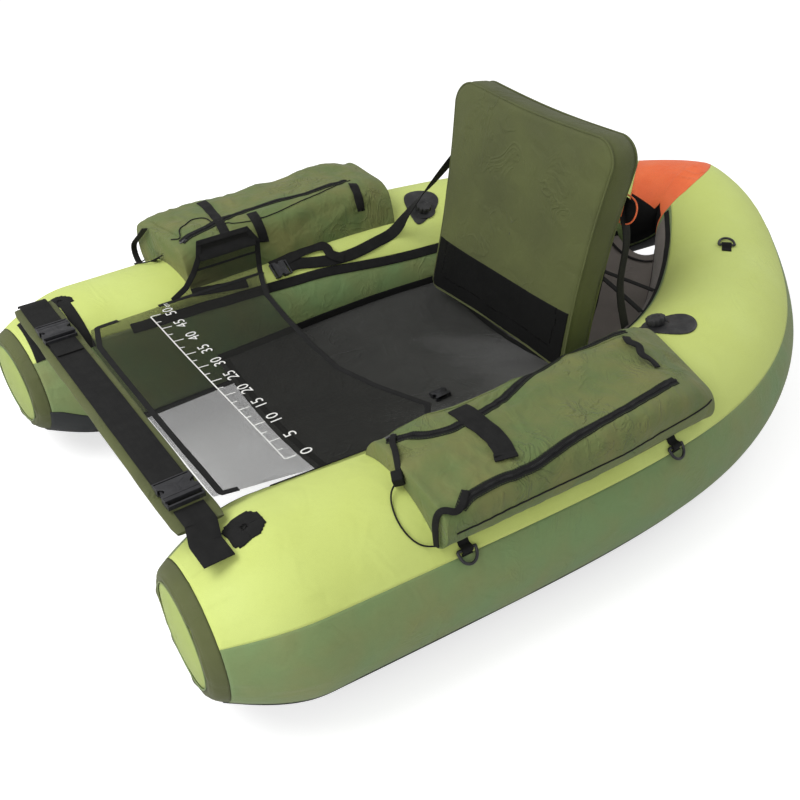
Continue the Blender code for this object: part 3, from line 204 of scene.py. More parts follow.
def ribGroup():
    # Webbing: chevron ribs across its width and a firm edge. The map's X runs across and its Y along, in metres
    inputs = {"Vector": "Vector", "Pitch": 0.0022}
    tree, given, result = makeGroup("webbing_ribs", inputs, {"Height": "Float", "Thread": "Float"})
    parts = addNode(tree, "ShaderNodeSeparateXYZ", {0: given["Vector"]})
    turns = calc(tree, "DIVIDE", math.tau, given["Pitch"])
    zigzag = calc(tree, "PINGPONG", parts[0], 0.0045)
    slant = calc(tree, "ADD", parts[1], calc(tree, "MULTIPLY", zigzag, 0.8))
    rib = calc(tree, "SINE", calc(tree, "MULTIPLY", slant, turns))
    cross = calc(tree, "SINE", calc(tree, "MULTIPLY", parts[0], calc(tree, "MULTIPLY", turns, 0.9)))
    weft = calc(tree, "MULTIPLY", calc(tree, "ABSOLUTE", cross), 0.5)
    height = calc(tree, "ADD", calc(tree, "MULTIPLY", rib, 0.35), weft)
    tree.links.new(height, result["Height"])
    tree.links.new(remap(tree, height, -0.35, 0.85, 0.0, 1.0), result["Thread"])
    return tree


def grainGroup():
    # Moulded plastic, rubber and metal: fine grain and rubbed patches
    tree, given, result = makeGroup("grain", {"Vector": "Vector", "Size": 0.0012},
            {"Height": "Float", "Rub": "Float"})
    scale = calc(tree, "DIVIDE", 1.0, given["Size"])
    tree.links.new(smoothNoise(tree, given["Vector"], scale, 2.0, 0.6), result["Height"])
    rub = smoothNoise(tree, given["Vector"], calc(tree, "MULTIPLY", scale, 0.07), 3.0, 0.6)
    tree.links.new(remap(tree, rub, 0.4, 0.7, 0.0, 1.0), result["Rub"])
    return tree


groups = {
    "weave": weaveGroup(), "mottle": mottleGroup(), "crease": creaseGroup(),
    "holes": meshHoleGroup(), "ribs": ribGroup(), "grain": grainGroup(),
}


def useGroup(tree, name, **links):
    named = {key.replace("_", " "): value for key, value in links.items()}
    return addNode(tree, "ShaderNodeGroup", named, node_tree=groups[name])


# Materials

def linear(color):
    # sRGB numbers from 0 to 255 to linear light
    parts = [value / 255 for value in color]
    return (*[part / 12.92 if part <= 0.04045 else ((part + 0.055) / 1.055) ** 2.4 for part in parts], 1.0)


def newMaterial(name, look):
    material = bpy.data.materials.new(name)
    material.use_nodes = True
    tree = material.node_tree
    shader = tree.nodes["Principled BSDF"].inputs
    shader["Roughness"].default_value = look.get("roughness", 0.7)
    shader["Metallic"].default_value = look.get("metallic", 0.0)
    shader["Sheen Weight"].default_value = look.get("sheen", 0.0)
    shader["Sheen Roughness"].default_value = 0.5
    shader["Specular IOR Level"].default_value = look.get("specular", 0.35)
    material.diffuse_color = linear(look["tone"])
    return material, tree, shader, addNode(tree, "ShaderNodeTexCoord")


def linkShader(tree, shader, bumps, **links):
    # Each bump is a height, a strength and a depth in metres
    normal = {}
    for height, strength, depth in bumps:
        step = {"Height": height, "Strength": strength, "Distance": depth, **normal}
        normal = {"Normal": addNode(tree, "ShaderNodeBump", step)["Normal"]}
    for key, value in {**links, **normal}.items():
        tree.links.new(value, shader[key.replace("_", " ")])


def lookTable(keys, rows):
    # Rows of values, each as a dictionary under the same keys. A row may stop early
    return {name: dict(zip(keys.split(), row)) for name, row in rows.items()}


clothKeys = "tone second fleckTone size fleck threads weaveDepth creaseSize creaseDepth sharp roughness sheen specular"
clothLooks = lookTable(clothKeys, {
    # The disc is the lime cloth painted darker for the tip discs. It is painted shade, a shaded copy of the lime
    "disc": ((160, 176, 92), (166, 182, 98), (138, 156, 76), 0.10, 0.12, 1100, 0.00010, 0.040, 0.0022, 0.20, 0.64,
             0.06),
    "lime": ((203, 216, 118), (208, 222, 128), (180, 196, 96), 0.16, 0.10, 1100, 0.00010, 0.060, 0.0040, 0.20, 0.64,
             0.06),
    "olive": ((119, 145, 93), (130, 140, 88), (100, 122, 74), 0.10, 0.20, 1000, 0.00012, 0.050, 0.0060, 0.30, 0.66,
              0.10),
    "bag": ((116, 120, 68), (96, 114, 64), (124, 108, 70), 0.075, 0.22, 820, 0.00016, 0.034, 0.0085, 0.55, 0.72,
            0.08),
    "back": ((90, 96, 54), (81, 86, 50), (100, 92, 58), 0.12, 0.14, 900, 0.00014, 0.050, 0.0060, 0.40, 0.72, 0.06),
    "orange": ((250, 112, 60), (255, 124, 70), (226, 88, 44), 0.06, 0.15, 1000, 0.00012, 0.034, 0.0065, 0.50, 0.60,
               0.10),
    "black": ((20, 20, 20), (16, 16, 16), (28, 28, 28), 0.06, 0.30, 800, 0.00016, 0.024, 0.0024, 0.35, 0.8, 0.0,
              0.15),
    "sole": ((40, 43, 44), (33, 36, 37), (52, 55, 56), 0.08, 0.25, 500, 0.00025, 0.05, 0.0015, 0.15, 0.58, 0.0),
    "bladder": ((222, 222, 216), (212, 213, 208), (200, 202, 198), 0.12, 0.10, 300, 0.00004, 0.05, 0.002, 0.2, 0.38,
                0.0),
})


def clothMaterial(name, look):
    material, tree, shader, places = newMaterial(name, look)
    color = useGroup(tree, "mottle", Vector=places["Object"], Tone=linear(look["tone"]),
                     Second_Tone=linear(look["second"]),
                     Fleck_Tone=linear(look["fleckTone"]), Size=look["size"], Fleck=look["fleck"])["Color"]
    weave = useGroup(tree, "weave", Vector=places["UV"], Threads=float(look["threads"]))["Height"]
    # The colour is darkened where the weave is low, which is painted shade in the gaps between threads
    shade = remap(tree, weave, 0.0, 1.0, 0.80, 1.0)
    weaveShadedColor = addNode(tree, "ShaderNodeVectorMath", {0: color, 1: shade}, operation="MULTIPLY")[0]
    crease = useGroup(tree, "crease", Vector=places["Object"], Size=look["creaseSize"], Sharp=look["sharp"])["Height"]
    rough = remap(tree, crease, 0.3, 0.8, look["roughness"] - 0.05, look["roughness"] + 0.07)
    bumps = [(crease, 0.55, look["creaseDepth"]), (weave, 0.6, look["weaveDepth"])]
    linkShader(tree, shader, bumps, Base_Color=weaveShadedColor, Roughness=rough)
    return material


meshLooks = lookTable("tone cover pitch roughness sheen creaseSize creaseDepth specular", {
    "seatMesh": ((56, 56, 54), 0.86, 0.0015, 0.66, 0.12, 0.06, 0.009),
    "apronMesh": ((34, 34, 31), 0.27, 0.0015, 0.7, 0.04, 0.06, 0.003, 0.2),
    "cargoMesh": ((122, 114, 108), 0.97, 0.0017, 0.7, 0.2, 0.05, 0.003),
    "pocketMesh": ((34, 34, 34), 0.62, 0.0030, 0.6, 0.1, 0.03, 0.003),
})


def meshMaterial(name, look):
    material, tree, shader, places = newMaterial(name, look)
    holes = useGroup(tree, "holes", Vector=places["UV"], Pitch=look["pitch"], Cover=look["cover"])
    tone = Vector(linear(look["tone"])[:3])
    color = useGroup(tree, "mottle", Vector=places["Object"], Tone=(*tone, 1), Second_Tone=(*(tone * 0.8), 1),
                     Fleck_Tone=(*(tone * 1.25), 1), Size=0.08, Fleck=0.2)["Color"]
    crease = useGroup(tree, "crease", Vector=places["Object"], Size=look["creaseSize"], Sharp=0.4)["Height"]
    bumps = [(crease, 0.5, look["creaseDepth"]), (holes["Height"], 0.5, look["pitch"] * 0.2)]
    linkShader(tree, shader, bumps, Base_Color=color, Alpha=holes["Alpha"])
    return material


webbingLooks = lookTable("tone worn pitch roughness specular sheen", {
    "webbing": ((17, 17, 17), (36, 36, 35), 0.0022, 0.78, 0.2, 0.02),
    "tape": ((20, 20, 20), (36, 36, 36), 0.0011, 0.78, 0.2, 0.02),
    "elastic": ((20, 20, 20), (42, 42, 42), 0.0009, 0.75, 0.2, 0.02),
})


def webbingMaterial(name, look):
    material, tree, shader, places = newMaterial(name, look)
    ribs = useGroup(tree, "ribs", Vector=places["UV"], Pitch=look["pitch"])
    wear = remap(tree, smoothNoise(tree, places["Object"], 60.0, 3.0, 0.6), 0.4, 0.75, 0.25, 0.9)
    color = blendColor(tree, calc(tree, "MULTIPLY", ribs["Thread"], wear), linear(look["tone"]), linear(look["worn"]))
    soft = smoothNoise(tree, places["Object"], 45.0, 2.0)
    linkShader(tree, shader, [(soft, 0.4, 0.0015), (ribs["Height"], 0.7, look["pitch"] * 0.16)], Base_Color=color)
    return material


hardLooks = lookTable("tone worn grain roughness specular metallic", {
    "plastic": ((30, 30, 33), (46, 46, 49), 0.0009, 0.36, 0.5),
    "rubber": ((36, 36, 37), (50, 50, 50), 0.0014, 0.52, 0.4),
    "zipMetal": ((96, 96, 98), (150, 150, 150), 0.0008, 0.36, 0.35, 1.0),
    "foam": ((140, 140, 138), (120, 120, 118), 0.0016, 0.9, 0.2),
    "print": ((226, 226, 222), (205, 205, 202), 0.0012, 0.6, 0.3),
    "thread": ((30, 30, 30), (44, 44, 44), 0.0008, 0.75, 0.2),
    "limeThread": ((178, 192, 96), (190, 204, 110), 0.0008, 0.75, 0.2),
    "oliveThread": ((84, 100, 56), (96, 112, 64), 0.0008, 0.75, 0.2),
})


def grainMaterial(name, look):
    material, tree, shader, places = newMaterial(name, look)
    grain = useGroup(tree, "grain", Vector=places["Object"], Size=look["grain"])
    color = blendColor(tree, grain["Rub"], linear(look["tone"]), linear(look["worn"]))
    rough = remap(tree, grain["Rub"], 0.0, 1.0, look["roughness"] + 0.08, look["roughness"] - 0.08)
    linkShader(tree, shader, [(grain["Height"], 0.35, look["grain"] * 0.12)], Base_Color=color, Roughness=rough)
    return material


paint = {name: clothMaterial(name + "Cloth", look) for name, look in clothLooks.items()}
for make, looks in ((meshMaterial, meshLooks), (grainMaterial, hardLooks), (webbingMaterial, webbingLooks)):
    paint.update({name: make(name, look) for name, look in looks.items()})
print("materials made:", len(paint))


# Geometry helpers

def unit(vector):
    vector = np.asarray(vector, float)
    return vector / np.linalg.norm(vector, axis=-1, keepdims=True)


def together(*values):
    # Numbers and arrays as arrays of one shape
    return np.broadcast_arrays(*(np.asarray(value, float) for value in values))


def runAlong(points):
    # The distance along a path at each of its points
    return np.r_[0, np.cumsum(np.linalg.norm(np.diff(points, axis=0), axis=1))]


def spreadEvenly(length, values, count):
    # Values known at distances along a path, read off at even ones
    places = np.linspace(0, length[-1], count)
    return np.column_stack([np.interp(places, length, column) for column in values.T])


def smoothPath(points, count):
    # Evenly spaced points on the natural cubic spline through the given ones
    knots = np.array(points, float)
    chord = runAlong(knots)
    step = np.diff(chord)
    size = len(knots)
    system = np.eye(size)
    right = np.zeros_like(knots)
    for row in range(1, size - 1):
        system[row, row - 1:row + 2] = step[row - 1], 2 * (step[row - 1] + step[row]), step[row]
        right[row] = 6 * ((knots[row + 1] - knots[row]) / step[row] - (knots[row] - knots[row - 1]) / step[row - 1])
    bend = np.linalg.solve(system, right)
    fine = np.linspace(0, chord[-1], 40 * size)
    cell = np.clip(np.searchsorted(chord, fine, "right") - 1, 0, size - 2)
    after = ((fine - chord[cell]) / step[cell])[:, None]
    before = 1 - after
    curve = before * knots[cell] + after * knots[cell + 1]
    curve += ((before**3 - before) * bend[cell] + (after**3 - after) * bend[cell + 1]) * step[cell][:, None] ** 2 / 6
    return spreadEvenly(runAlong(curve), curve, count)


def spreadLooks(looks, knots, count):
    # Directions given at a path's knots, spread evenly along it
    return unit(spreadEvenly(runAlong(np.array(knots, float)), np.array(looks, float), count))


def cloudNoise(points, size, seed):
    # Smooth noise from -1 to 1, with bumps about as wide as size
    table = np.random.default_rng(seed).uniform(-1, 1, (32, 32, 32))
    place = np.asarray(points, float) / size
    cell = np.floor(place).astype(int)
    part = place - cell
    part = part * part * (3 - 2 * part)
    total = 0
    for corner in itertools.product((0, 1), repeat=3):
        weight = np.prod(np.where(corner, part, 1 - part), axis=-1)
        index = (cell + corner) % 32
        total = total + weight * table[index[..., 0], index[..., 1], index[..., 2]]
    return total


def lineNoise(values, size, seed):
    values = np.asarray(values, float)
    return cloudNoise(np.stack([values, values * 0 + 0.37 * size, values * 0], -1), size, seed)


def smoothStep(value, low, high):
    share = np.clip((np.asarray(value, float) - low) / (high - low), 0, 1)
    return share * share * (3 - 2 * share)


def readAll(items, label, width=1, kind=np.float32):
    # One value or row of values from each part of a mesh
    values = np.empty(len(items) * width, kind)
    items.foreach_get(label, values)
    return values.reshape(-1, width) if width > 1 else values


def shade(item, sharp=None):
    # Smooth shading, apart from edges sharper than an angle
    item.data.shade_smooth()
    if sharp:
        item.data.set_sharp_from_angle(angle=math.radians(sharp))
    return item


def meshObject(name, points, faces, material, uv=None):
    # uv holds one place in metres for each point
    mesh = bpy.data.meshes.new(name)
    mesh.from_pydata(np.asarray(points, float).tolist(), [], faces)
    mesh.materials.append(material)
    if uv is not None:
        corners = readAll(mesh.loops, "vertex_index", kind=np.int32)
        layer = mesh.uv_layers.new(name="cloth")
        layer.data.foreach_set("uv", np.asarray(uv, np.float32)[corners].ravel())
    return shade(newObject(name, mesh))


def gridFaces(rows, columns, closed=False, start=0):
    last = columns if closed else columns - 1
    faces = []
    for row in range(rows - 1):
        for column in range(last):
            beside = (column + 1) % columns
            low, high = start + row * columns, start + (row + 1) * columns
            faces.append([low + column, low + beside, high + beside, high + column])
    return faces


def hoseFaces(rows, columns, turned=False):
    # A hose with both ends shut. turned winds its ends the other way
    last = (rows - 1) * columns
    ends = [list(range(columns)), list(range(last, last + columns))[::-1]]
    return gridFaces(rows, columns, True) + [end[::-1] if turned else end for end in ends]


def gridObject(name, grid, material, thickness=0.0, closed=False, uv=None, lookAt=None):
    # A sheet from a grid of points. lookAt is a direction that its face roughly looks in, and it thickens away from it
    grid = np.asarray(grid, float)
    rows, columns = grid.shape[:2]
    if uv is None:
        across = np.linalg.norm(np.diff(grid, axis=1), axis=2).mean(0)
        along = np.linalg.norm(np.diff(grid, axis=0), axis=2).mean(1)
        uv = np.stack(np.meshgrid(np.r_[0, np.cumsum(across)], np.r_[0, np.cumsum(along)]), -1)
    faces = gridFaces(rows, columns, closed)
    if lookAt is not None:
        row, column = rows // 2, columns // 2
        middle = grid[row, column]
        if np.dot(np.cross(middle - grid[row, column - 1], middle - grid[row - 1, column]), lookAt) < 0:
            faces = [face[::-1] for face in faces]
    item = meshObject(name, grid.reshape(-1, 3), faces, material, uv.reshape(-1, 2))
    return thicken(item, thickness) if thickness else item


def thicken(item, thickness, offset=-1.0):
    solid = item.modifiers.new("thickness", "SOLIDIFY")
    solid.thickness = thickness
    solid.offset = offset
    solid.use_even_offset = False
    return item


def editMesh(data, work):
    # Opens a mesh, works on it and writes it back
    mesh = bmesh.new()
    mesh.from_mesh(data)
    work(mesh)
    mesh.to_mesh(data)
    mesh.free()


def faceOut(item, sharp=None):
    editMesh(item.data, lambda mesh: bmesh.ops.recalc_face_normals(mesh, faces=mesh.faces))
    return shade(item, sharp)


def plainMesh(item):
    # The evaluated object as a plain mesh object, with no modifiers
    graph = bpy.context.evaluated_depsgraph_get()
    bpy.context.view_layer.update()
    data = bpy.data.meshes.new_from_object(item.evaluated_get(graph), preserve_all_data_layers=True, depsgraph=graph)
    data.transform(item.matrix_world)
    label = item.name
    bpy.data.objects.remove(item)
    return newObject(label, data)


def joinPieces(name, items):
    # Several plain objects as one, modifiers applied
    parts = [plainMesh(item) for item in items]
    grid = bmesh.new()
    materials = []
    for part in parts:
        materials += [material for material in part.data.materials if material not in materials]
    for part in parts:
        before = len(grid.faces)
        grid.from_mesh(part.data)
        grid.faces.ensure_lookup_table()
        slots = [materials.index(material) for material in part.data.materials]
        for face in grid.faces[before:]:
            face.material_index = slots[min(face.material_index, len(slots) - 1)]
    mesh = bpy.data.meshes.new(name)
    grid.to_mesh(mesh)
    grid.free()
    for material in materials:
        mesh.materials.append(material)
    for part in parts:
        bpy.data.objects.remove(part)
    return newObject(name, mesh)


def surfaceTree(*items):
    graph = bpy.context.evaluated_depsgraph_get()
    bpy.context.view_layer.update()
    points, faces = [], []
    for item in items:
        solid = item.evaluated_get(graph)
        mesh = solid.to_mesh()
        start = len(points)
        points += [item.matrix_world @ vertex.co for vertex in mesh.vertices]
        faces += [[start + index for index in polygon.vertices] for polygon in mesh.polygons]
        solid.to_mesh_clear()
    return BVHTree.FromPolygons(points, faces)


def dropOnto(tree, point, direction=(0, 0, -1), reach=0.25, lift=0.0):
    # The first surface met from a point raised against a direction, and its normal
    direction = Vector(direction).normalized()
    hit, normal, _, _ = tree.ray_cast(Vector(point) - direction * reach, direction, reach * 2.5)
    if hit is None:
        hit, normal, _, _ = tree.find_nearest(Vector(point))
    if normal.dot(direction) > 0:
        normal = -normal
    return np.array(hit + normal * lift), np.array(normal)


def dropAll(tree, points, lift=0.0):
    # Many points dropped straight down
    hits = [dropOnto(tree, point, (0, 0, -1), 0.1, lift) for point in points]
    return np.array([hit[0] for hit in hits]), np.array([hit[1] for hit in hits])


def frameAlong(path, looks):
    # Tangent, side and up at each point of a path. looks is one direction, or one for each point
    path = np.asarray(path, float)
    tangent = unit(np.gradient(path, axis=0))
    up = np.broadcast_to(np.asarray(looks, float), path.shape)
    up = unit(up - tangent * (up * tangent).sum(1, keepdims=True))
    return tangent, np.cross(tangent, up), up


def hoseMap(around, length, rows):
    # A cloth map in metres from the places round a hose and those along it
    shape = (rows, len(around))
    return np.stack([np.broadcast_to(around, shape), np.broadcast_to(length[:, None], shape)], -1).reshape(-1, 2)


def strapObject(name, path, looks, width, thickness, material, curl=0.0, drift=0.0):
    # Flat webbing with soft edges along a path. Its back lies on the path and its face looks along looks
    path = np.asarray(path, float)
    tangent, side, up = frameAlong(path, looks)
    half, edge = width / 2, 0.25
    soft = 1 - 0.35 * thickness / half
    under = [(-1, edge), (-soft, 0), (-0.5, 0), (0, 0), (0.5, 0), (soft, 0), (1, edge)]
    section = under + [(across, 1 - rise) for across, rise in under[::-1]]
    length = runAlong(path)
    wave = drift * lineNoise(length, 0.04, 5)[:, None] if drift else 0
    rows = [path + side * (half * across + wave) + up * (thickness * rise + curl * across**2) for across,
            rise in section]
    grid = np.stack(rows, 1)
    count, columns = grid.shape[:2]
    around = np.array([across for across, _ in section]) * half
    faces = [face[::-1] for face in hoseFaces(count, columns)]
    return shade(meshObject(name, grid.reshape(-1, 3), faces, material, hoseMap(around, length, count)), 50)


def tubeObject(name, path, radius, material, sides=8, closed=False):
    # A round cord, welt or wire
    path = np.asarray(path, float)
    count = len(path)
    tangent = unit(np.roll(path, -1, 0) - np.roll(path, 1, 0) if closed else np.gradient(path, axis=0))
    normal = np.zeros_like(path)
    normal[0] = unit(np.cross(tangent[0], (0.3, 0.2, 0.93)))
    for index in range(1, count):
        before = normal[index - 1]
        normal[index] = unit(before - tangent[index] * np.dot(before, tangent[index]))
    side = np.cross(tangent, normal)
    turns = np.linspace(0, math.tau, sides, endpoint=False)
    grid = np.stack([path + radius * (normal * math.cos(turn) + side * math.sin(turn)) for turn in turns], 1)
    if closed:
        last = count * sides
        faces = [[index % last for index in face] for face in gridFaces(count + 1, sides, True)]
    else:
        faces = hoseFaces(count, sides, True)
    return faceOut(meshObject(name, grid.reshape(-1, 3), faces, material,
            hoseMap(turns * radius, runAlong(path), count)))


def turnedObject(name, profile, place, axis, material, sides=32, sharp=40, wave=None):
    # A solid turned about an axis from (radius, height) points. It starts and ends on the axis, or closes on itself
    turn = np.array(Vector(axis).normalized().to_track_quat("Z", "Y").to_matrix())
    bearings = np.linspace(0, math.tau, sides, endpoint=False)
    onAxis = profile[0][0] == 0
    inner = profile[1:-1] if onAxis else profile
    rings = []
    for index, (radius, height) in enumerate(inner):
        reach = radius * (1 + (wave(bearings, index) if wave else 0))
        rings.append(np.stack([reach * np.cos(bearings), reach * np.sin(bearings), np.full(sides, height)], -1))
    grid = np.concatenate(rings)
    faces = gridFaces(len(inner), sides, True)
    low, high, last = len(grid), len(grid) + 1, len(grid) - sides
    if onAxis:
        grid = np.concatenate([grid, [[0, 0, profile[0][1]], [0, 0, profile[-1][1]]]])
    for step in range(sides):
        beside = (step + 1) % sides
        if onAxis:
            faces += [[low, beside, step], [high, last + step, last + beside]]
        else:
            faces.append([last + step, last + beside, beside, step])
    return faceOut(meshObject(name, grid @ turn.T + np.array(place), faces, material), sharp)


def boxMap(item):
    # A cloth map in metres, laid on from the side that each face looks to
    mesh = item.data
    layer = mesh.uv_layers.get("cloth") or mesh.uv_layers.new(name="cloth")
    places = readAll(mesh.vertices, "co", 3)[readAll(mesh.loops, "vertex_index", kind=np.int32)]
    sizes = readAll(mesh.polygons, "loop_total", kind=np.int32)
    axis = np.repeat(np.abs(readAll(mesh.polygons, "normal", 3)).argmax(1), sizes)
    index = np.arange(len(places))
    first, second = places[index, np.where(axis == 0, 1, 0)], places[index, np.where(axis == 2, 1, 2)]
    layer.data.foreach_set("uv", np.stack([first, second], -1).ravel().astype(np.float32))
    return item


def finishPiece(item, body, slot, *stands):
    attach(item, body)
    if stands:
        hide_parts(*stands)
    return item


def strapPiece(name, path, looks, width, thickness, key="webbing", body="hull", stands=(), **shape):
    strap = strapObject(name, path, looks, width, thickness, paint[key], **shape)
    return finishPiece(strap, body, "webbing", *stands)


# Stitches and zip teeth: short beads set along a path by Geometry Nodes

def beadTree():
    inputs = {"Geometry": "Geometry", "Spacing": 0.004, "Length": 0.0028, "Width": 0.0008, "Height": 0.0006,
              "Square": False, "Finish": "Material"}
    tree, given, result = makeGroup("bead_row", inputs, {"Geometry": "Geometry"}, "GeometryNodeTree")
    curve = addNode(tree, "GeometryNodeMeshToCurve", {"Mesh": given["Geometry"]})[0]
    spaced = addNode(tree, "GeometryNodeResampleCurve", {"Curve": curve, "Length": given["Spacing"]},
                     mode="LENGTH")[0]
    tangent = addNode(tree, "GeometryNodeInputTangent")[0]
    up = addNode(tree, "GeometryNodeInputNamedAttribute", {"Name": "up"}, data_type="FLOAT_VECTOR")[0]
    along = addNode(tree, "FunctionNodeAlignRotationToVector", {"Vector": tangent}, axis="X")[0]
    links = {"Rotation": along, "Vector": up}
    facing = addNode(tree, "FunctionNodeAlignRotationToVector", links, axis="Z", pivot_axis="X")[0]
    bead = addNode(tree, "GeometryNodeMeshIcoSphere", {"Radius": 0.5, "Subdivisions": 1})["Mesh"]
    block = addNode(tree, "GeometryNodeMeshCube", {"Size": (1, 1, 1)})["Mesh"]
    links = {"Switch": given["Square"], "False": bead, "True": block}
    shape = addNode(tree, "GeometryNodeSwitch", links, input_type="GEOMETRY")[0]
    size = addNode(tree, "ShaderNodeCombineXYZ", {0: given["Length"], 1: given["Width"], 2: given["Height"]})[0]
    links = {"Points": spaced, "Instance": shape, "Rotation": facing, "Scale": size}
    real = addNode(tree, "GeometryNodeRealizeInstances",
                   {0: addNode(tree, "GeometryNodeInstanceOnPoints", links)[0]})[0]
    finish = addNode(tree, "GeometryNodeSetMaterial", {"Geometry": real, "Material": given["Finish"]})[0]
    tree.links.new(finish, result[0])
    return tree


beadRowTree = beadTree()
stitch = {"Spacing": 0.0042, "Length": 0.0031, "Width": 0.0007, "Height": 0.0005}


def beadRow(name, paths, material, **values):
    # paths is a list of (points, ups)
    points, edges, ups = [], [], []
    for path, looks in paths:
        start = len(points)
        points += [tuple(point) for point in path]
        ups += [tuple(look) for look in looks]
        edges += [(start + index, start + index + 1) for index in range(len(path) - 1)]
    mesh = bpy.data.meshes.new(name)
    mesh.from_pydata(points, edges, [])
    attribute = mesh.attributes.new("up", "FLOAT_VECTOR", "POINT")
    attribute.data.foreach_set("vector", np.asarray(ups, np.float32).ravel())
    item = newObject(name, mesh)
    modifier = item.modifiers.new("beads", "NODES")
    modifier.node_group = beadRowTree
    values["Finish"] = material
    for socket in beadRowTree.interface.items_tree:
        if socket.in_out == "INPUT" and socket.name in values:
            modifier[socket.identifier] = values[socket.name]
    return shade(plainMesh(item))


def stitchRow(name, paths, key, slot):
    return finishPiece(beadRow(name, paths, paint[key], Square=False, **stitch), "hull", slot)


# Hull surface, worked out from the same sizes as the frame's

hull = {
    "length": 1.510, "tipSpan": 0.3676, "widestSpan": 0.3925, "quarterSpan": 0.3033, "shoulderSpan": 0.1623,
    "widestShare": -0.2056, "quarterShare": 0.2692, "shoulderShare": 0.3752,
    "halfWidth": 0.1608, "flattening": 0.864, "tipHalfWidth": 0.1009, "sternHalfWidth": 0.1000, "tipTaper": 0.10,
    "sternTaper": 0.50,
    "tipLift": 0.0106, "tipLiftShare": 0.35, "sternLift": 0.1318, "sternLiftShare": 0.45, "floorSquash": 0.004,
    "soleThickness": 0.0018, "layerGap": 0.0006, "collarThickness": 0.004, "collarLength": 0.042,
    "coverThickness": 0.0012,
    "outerSeam": 33, "innerSeam": 142.5, "sternSeam": 198.9, "soleInner": 213, "soleOuter": 312, "sternLeft": 0.055,
    "sternRight": 0.130,
}


def hullKnots():
    oneSide = [
        (hull["tipSpan"], hull["collarThickness"] - hull["length"] / 2),
        (hull["widestSpan"], hull["widestShare"] * hull["length"]),
        (hull["quarterSpan"], hull["quarterShare"] * hull["length"]),
        (hull["shoulderSpan"], hull["shoulderShare"] * hull["length"]),
    ]
    return [(-x, y) for x, y in oneSide] + [(0, hull["length"] / 2 - hull["sternHalfWidth"])] + oneSide[::-1]


centreline = smoothPath(hullKnots(), 801)
centreRun = runAlong(centreline)
halfRun = centreRun[-1] / 2
centreRun -= halfRun
tipRun = halfRun - hull["collarLength"]
solePlane = hull["soleThickness"] + hull["layerGap"]
centreHeight = hull["halfWidth"] * hull["flattening"] + solePlane - hull["floorSquash"]


def hullFrame(run):
    run = np.asarray(run, float)
    reach = hull["length"] / 400
    place, ahead, behind = [np.stack([np.interp(run + shift, centreRun, centreline[:, axis]) for axis in (0, 1)], -1)
                            for shift in (0, reach, -reach)]
    along = unit(ahead - behind)
    outward = np.stack([-along[..., 1], along[..., 0]], -1)
    share = 1 - abs(run) / halfRun
    taper = np.clip((share - hull["sternTaper"]) / (1 - hull["sternTaper"]), 0, 1)
    halfWidth = hull["halfWidth"] + (hull["sternHalfWidth"] - hull["halfWidth"]) * taper**2
    ratio = hull["tipHalfWidth"] / hull["halfWidth"]
    halfWidth = halfWidth * (ratio + (1 - ratio) * np.sin(np.clip(share / hull["tipTaper"], 0, 1) * math.pi / 2))
    lift = hull["tipLift"] * np.maximum(1 - share / hull["tipLiftShare"], 0) ** 2
    lift = lift + hull["sternLift"] * np.maximum((share - 1 + hull["sternLiftShare"]) / hull["sternLiftShare"],
            0) ** 2
    return place, outward, halfWidth, centreHeight + lift


def hullPoint(run, angle, offset=0.0):
    run, angle, offset = together(run, angle, offset)
    place, outward, halfWidth, middle = hullFrame(run)
    turn = np.radians(angle)
    side = (halfWidth + offset) * np.cos(turn)
    height = middle + (halfWidth * hull["flattening"] + offset) * np.sin(turn)
    height = np.maximum(height, solePlane - offset)
    return np.concatenate([place + outward * side[..., None], height[..., None]], -1)


def hullNormal(run, angle):
    run, angle = together(run, angle)
    across = hullPoint(run, angle + 1) - hullPoint(run, angle - 1)
    along = hullPoint(run + 0.004, angle) - hullPoint(run - 0.004, angle)
    return unit(np.cross(across, along))


def degreesFor(length):
    return math.degrees(length / hull["halfWidth"])


# Hull covers. Their surface dips at the seams and puckers beside them

skin = {
    "spacing": 0.0048, "dip": 0.0014, "dipReach": 0.0050, "pucker": 0.0008, "puckerSize": 0.013, "puckerReach": 0.020,
    "sag": 0.0016, "sagSize": 0.11, "gather": 0.0026, "gatherSize": 0.015, "gatherReach": 0.20, "least": 0.0003,
}
# Where seams run: the panel's near one as runs at angles, the inner wall's as angles at distances from the stern
seamRoutes = {
    "stern": ((33, 67, 122, 146, 198, 235, 330, 393), (-0.022, 0.007, 0.068, 0.080, 0.080, 0.055, 0.030, -0.022)),
    "far": ((0.13, 0.70, 0.762, 0.905, 0.958, 1.10, 1.30, 1.57), (143, 149.5, 149, 143.5, 141, 137.5, 134, 131.5)),
    "near": ((0.0, 0.34, 0.80, 1.10, 1.30, 1.57), (142.5, 144, 143, 137.5, 134, 131.5)),
}


def sternEdge(angle):
    # The orange panel's near seam slants
    first = hull["outerSeam"]
    turn = np.mod(np.asarray(angle, float) - first, 360) + first
    return np.interp(turn, *seamRoutes["stern"])


def innerEdge(run):
    # The seam along the inner wall sinks towards the stern on the far side, and climbs towards the tips
    run = np.asarray(run, float)
    return np.where(run < 0, np.interp(-run, *seamRoutes["far"]), np.interp(run, *seamRoutes["near"]))


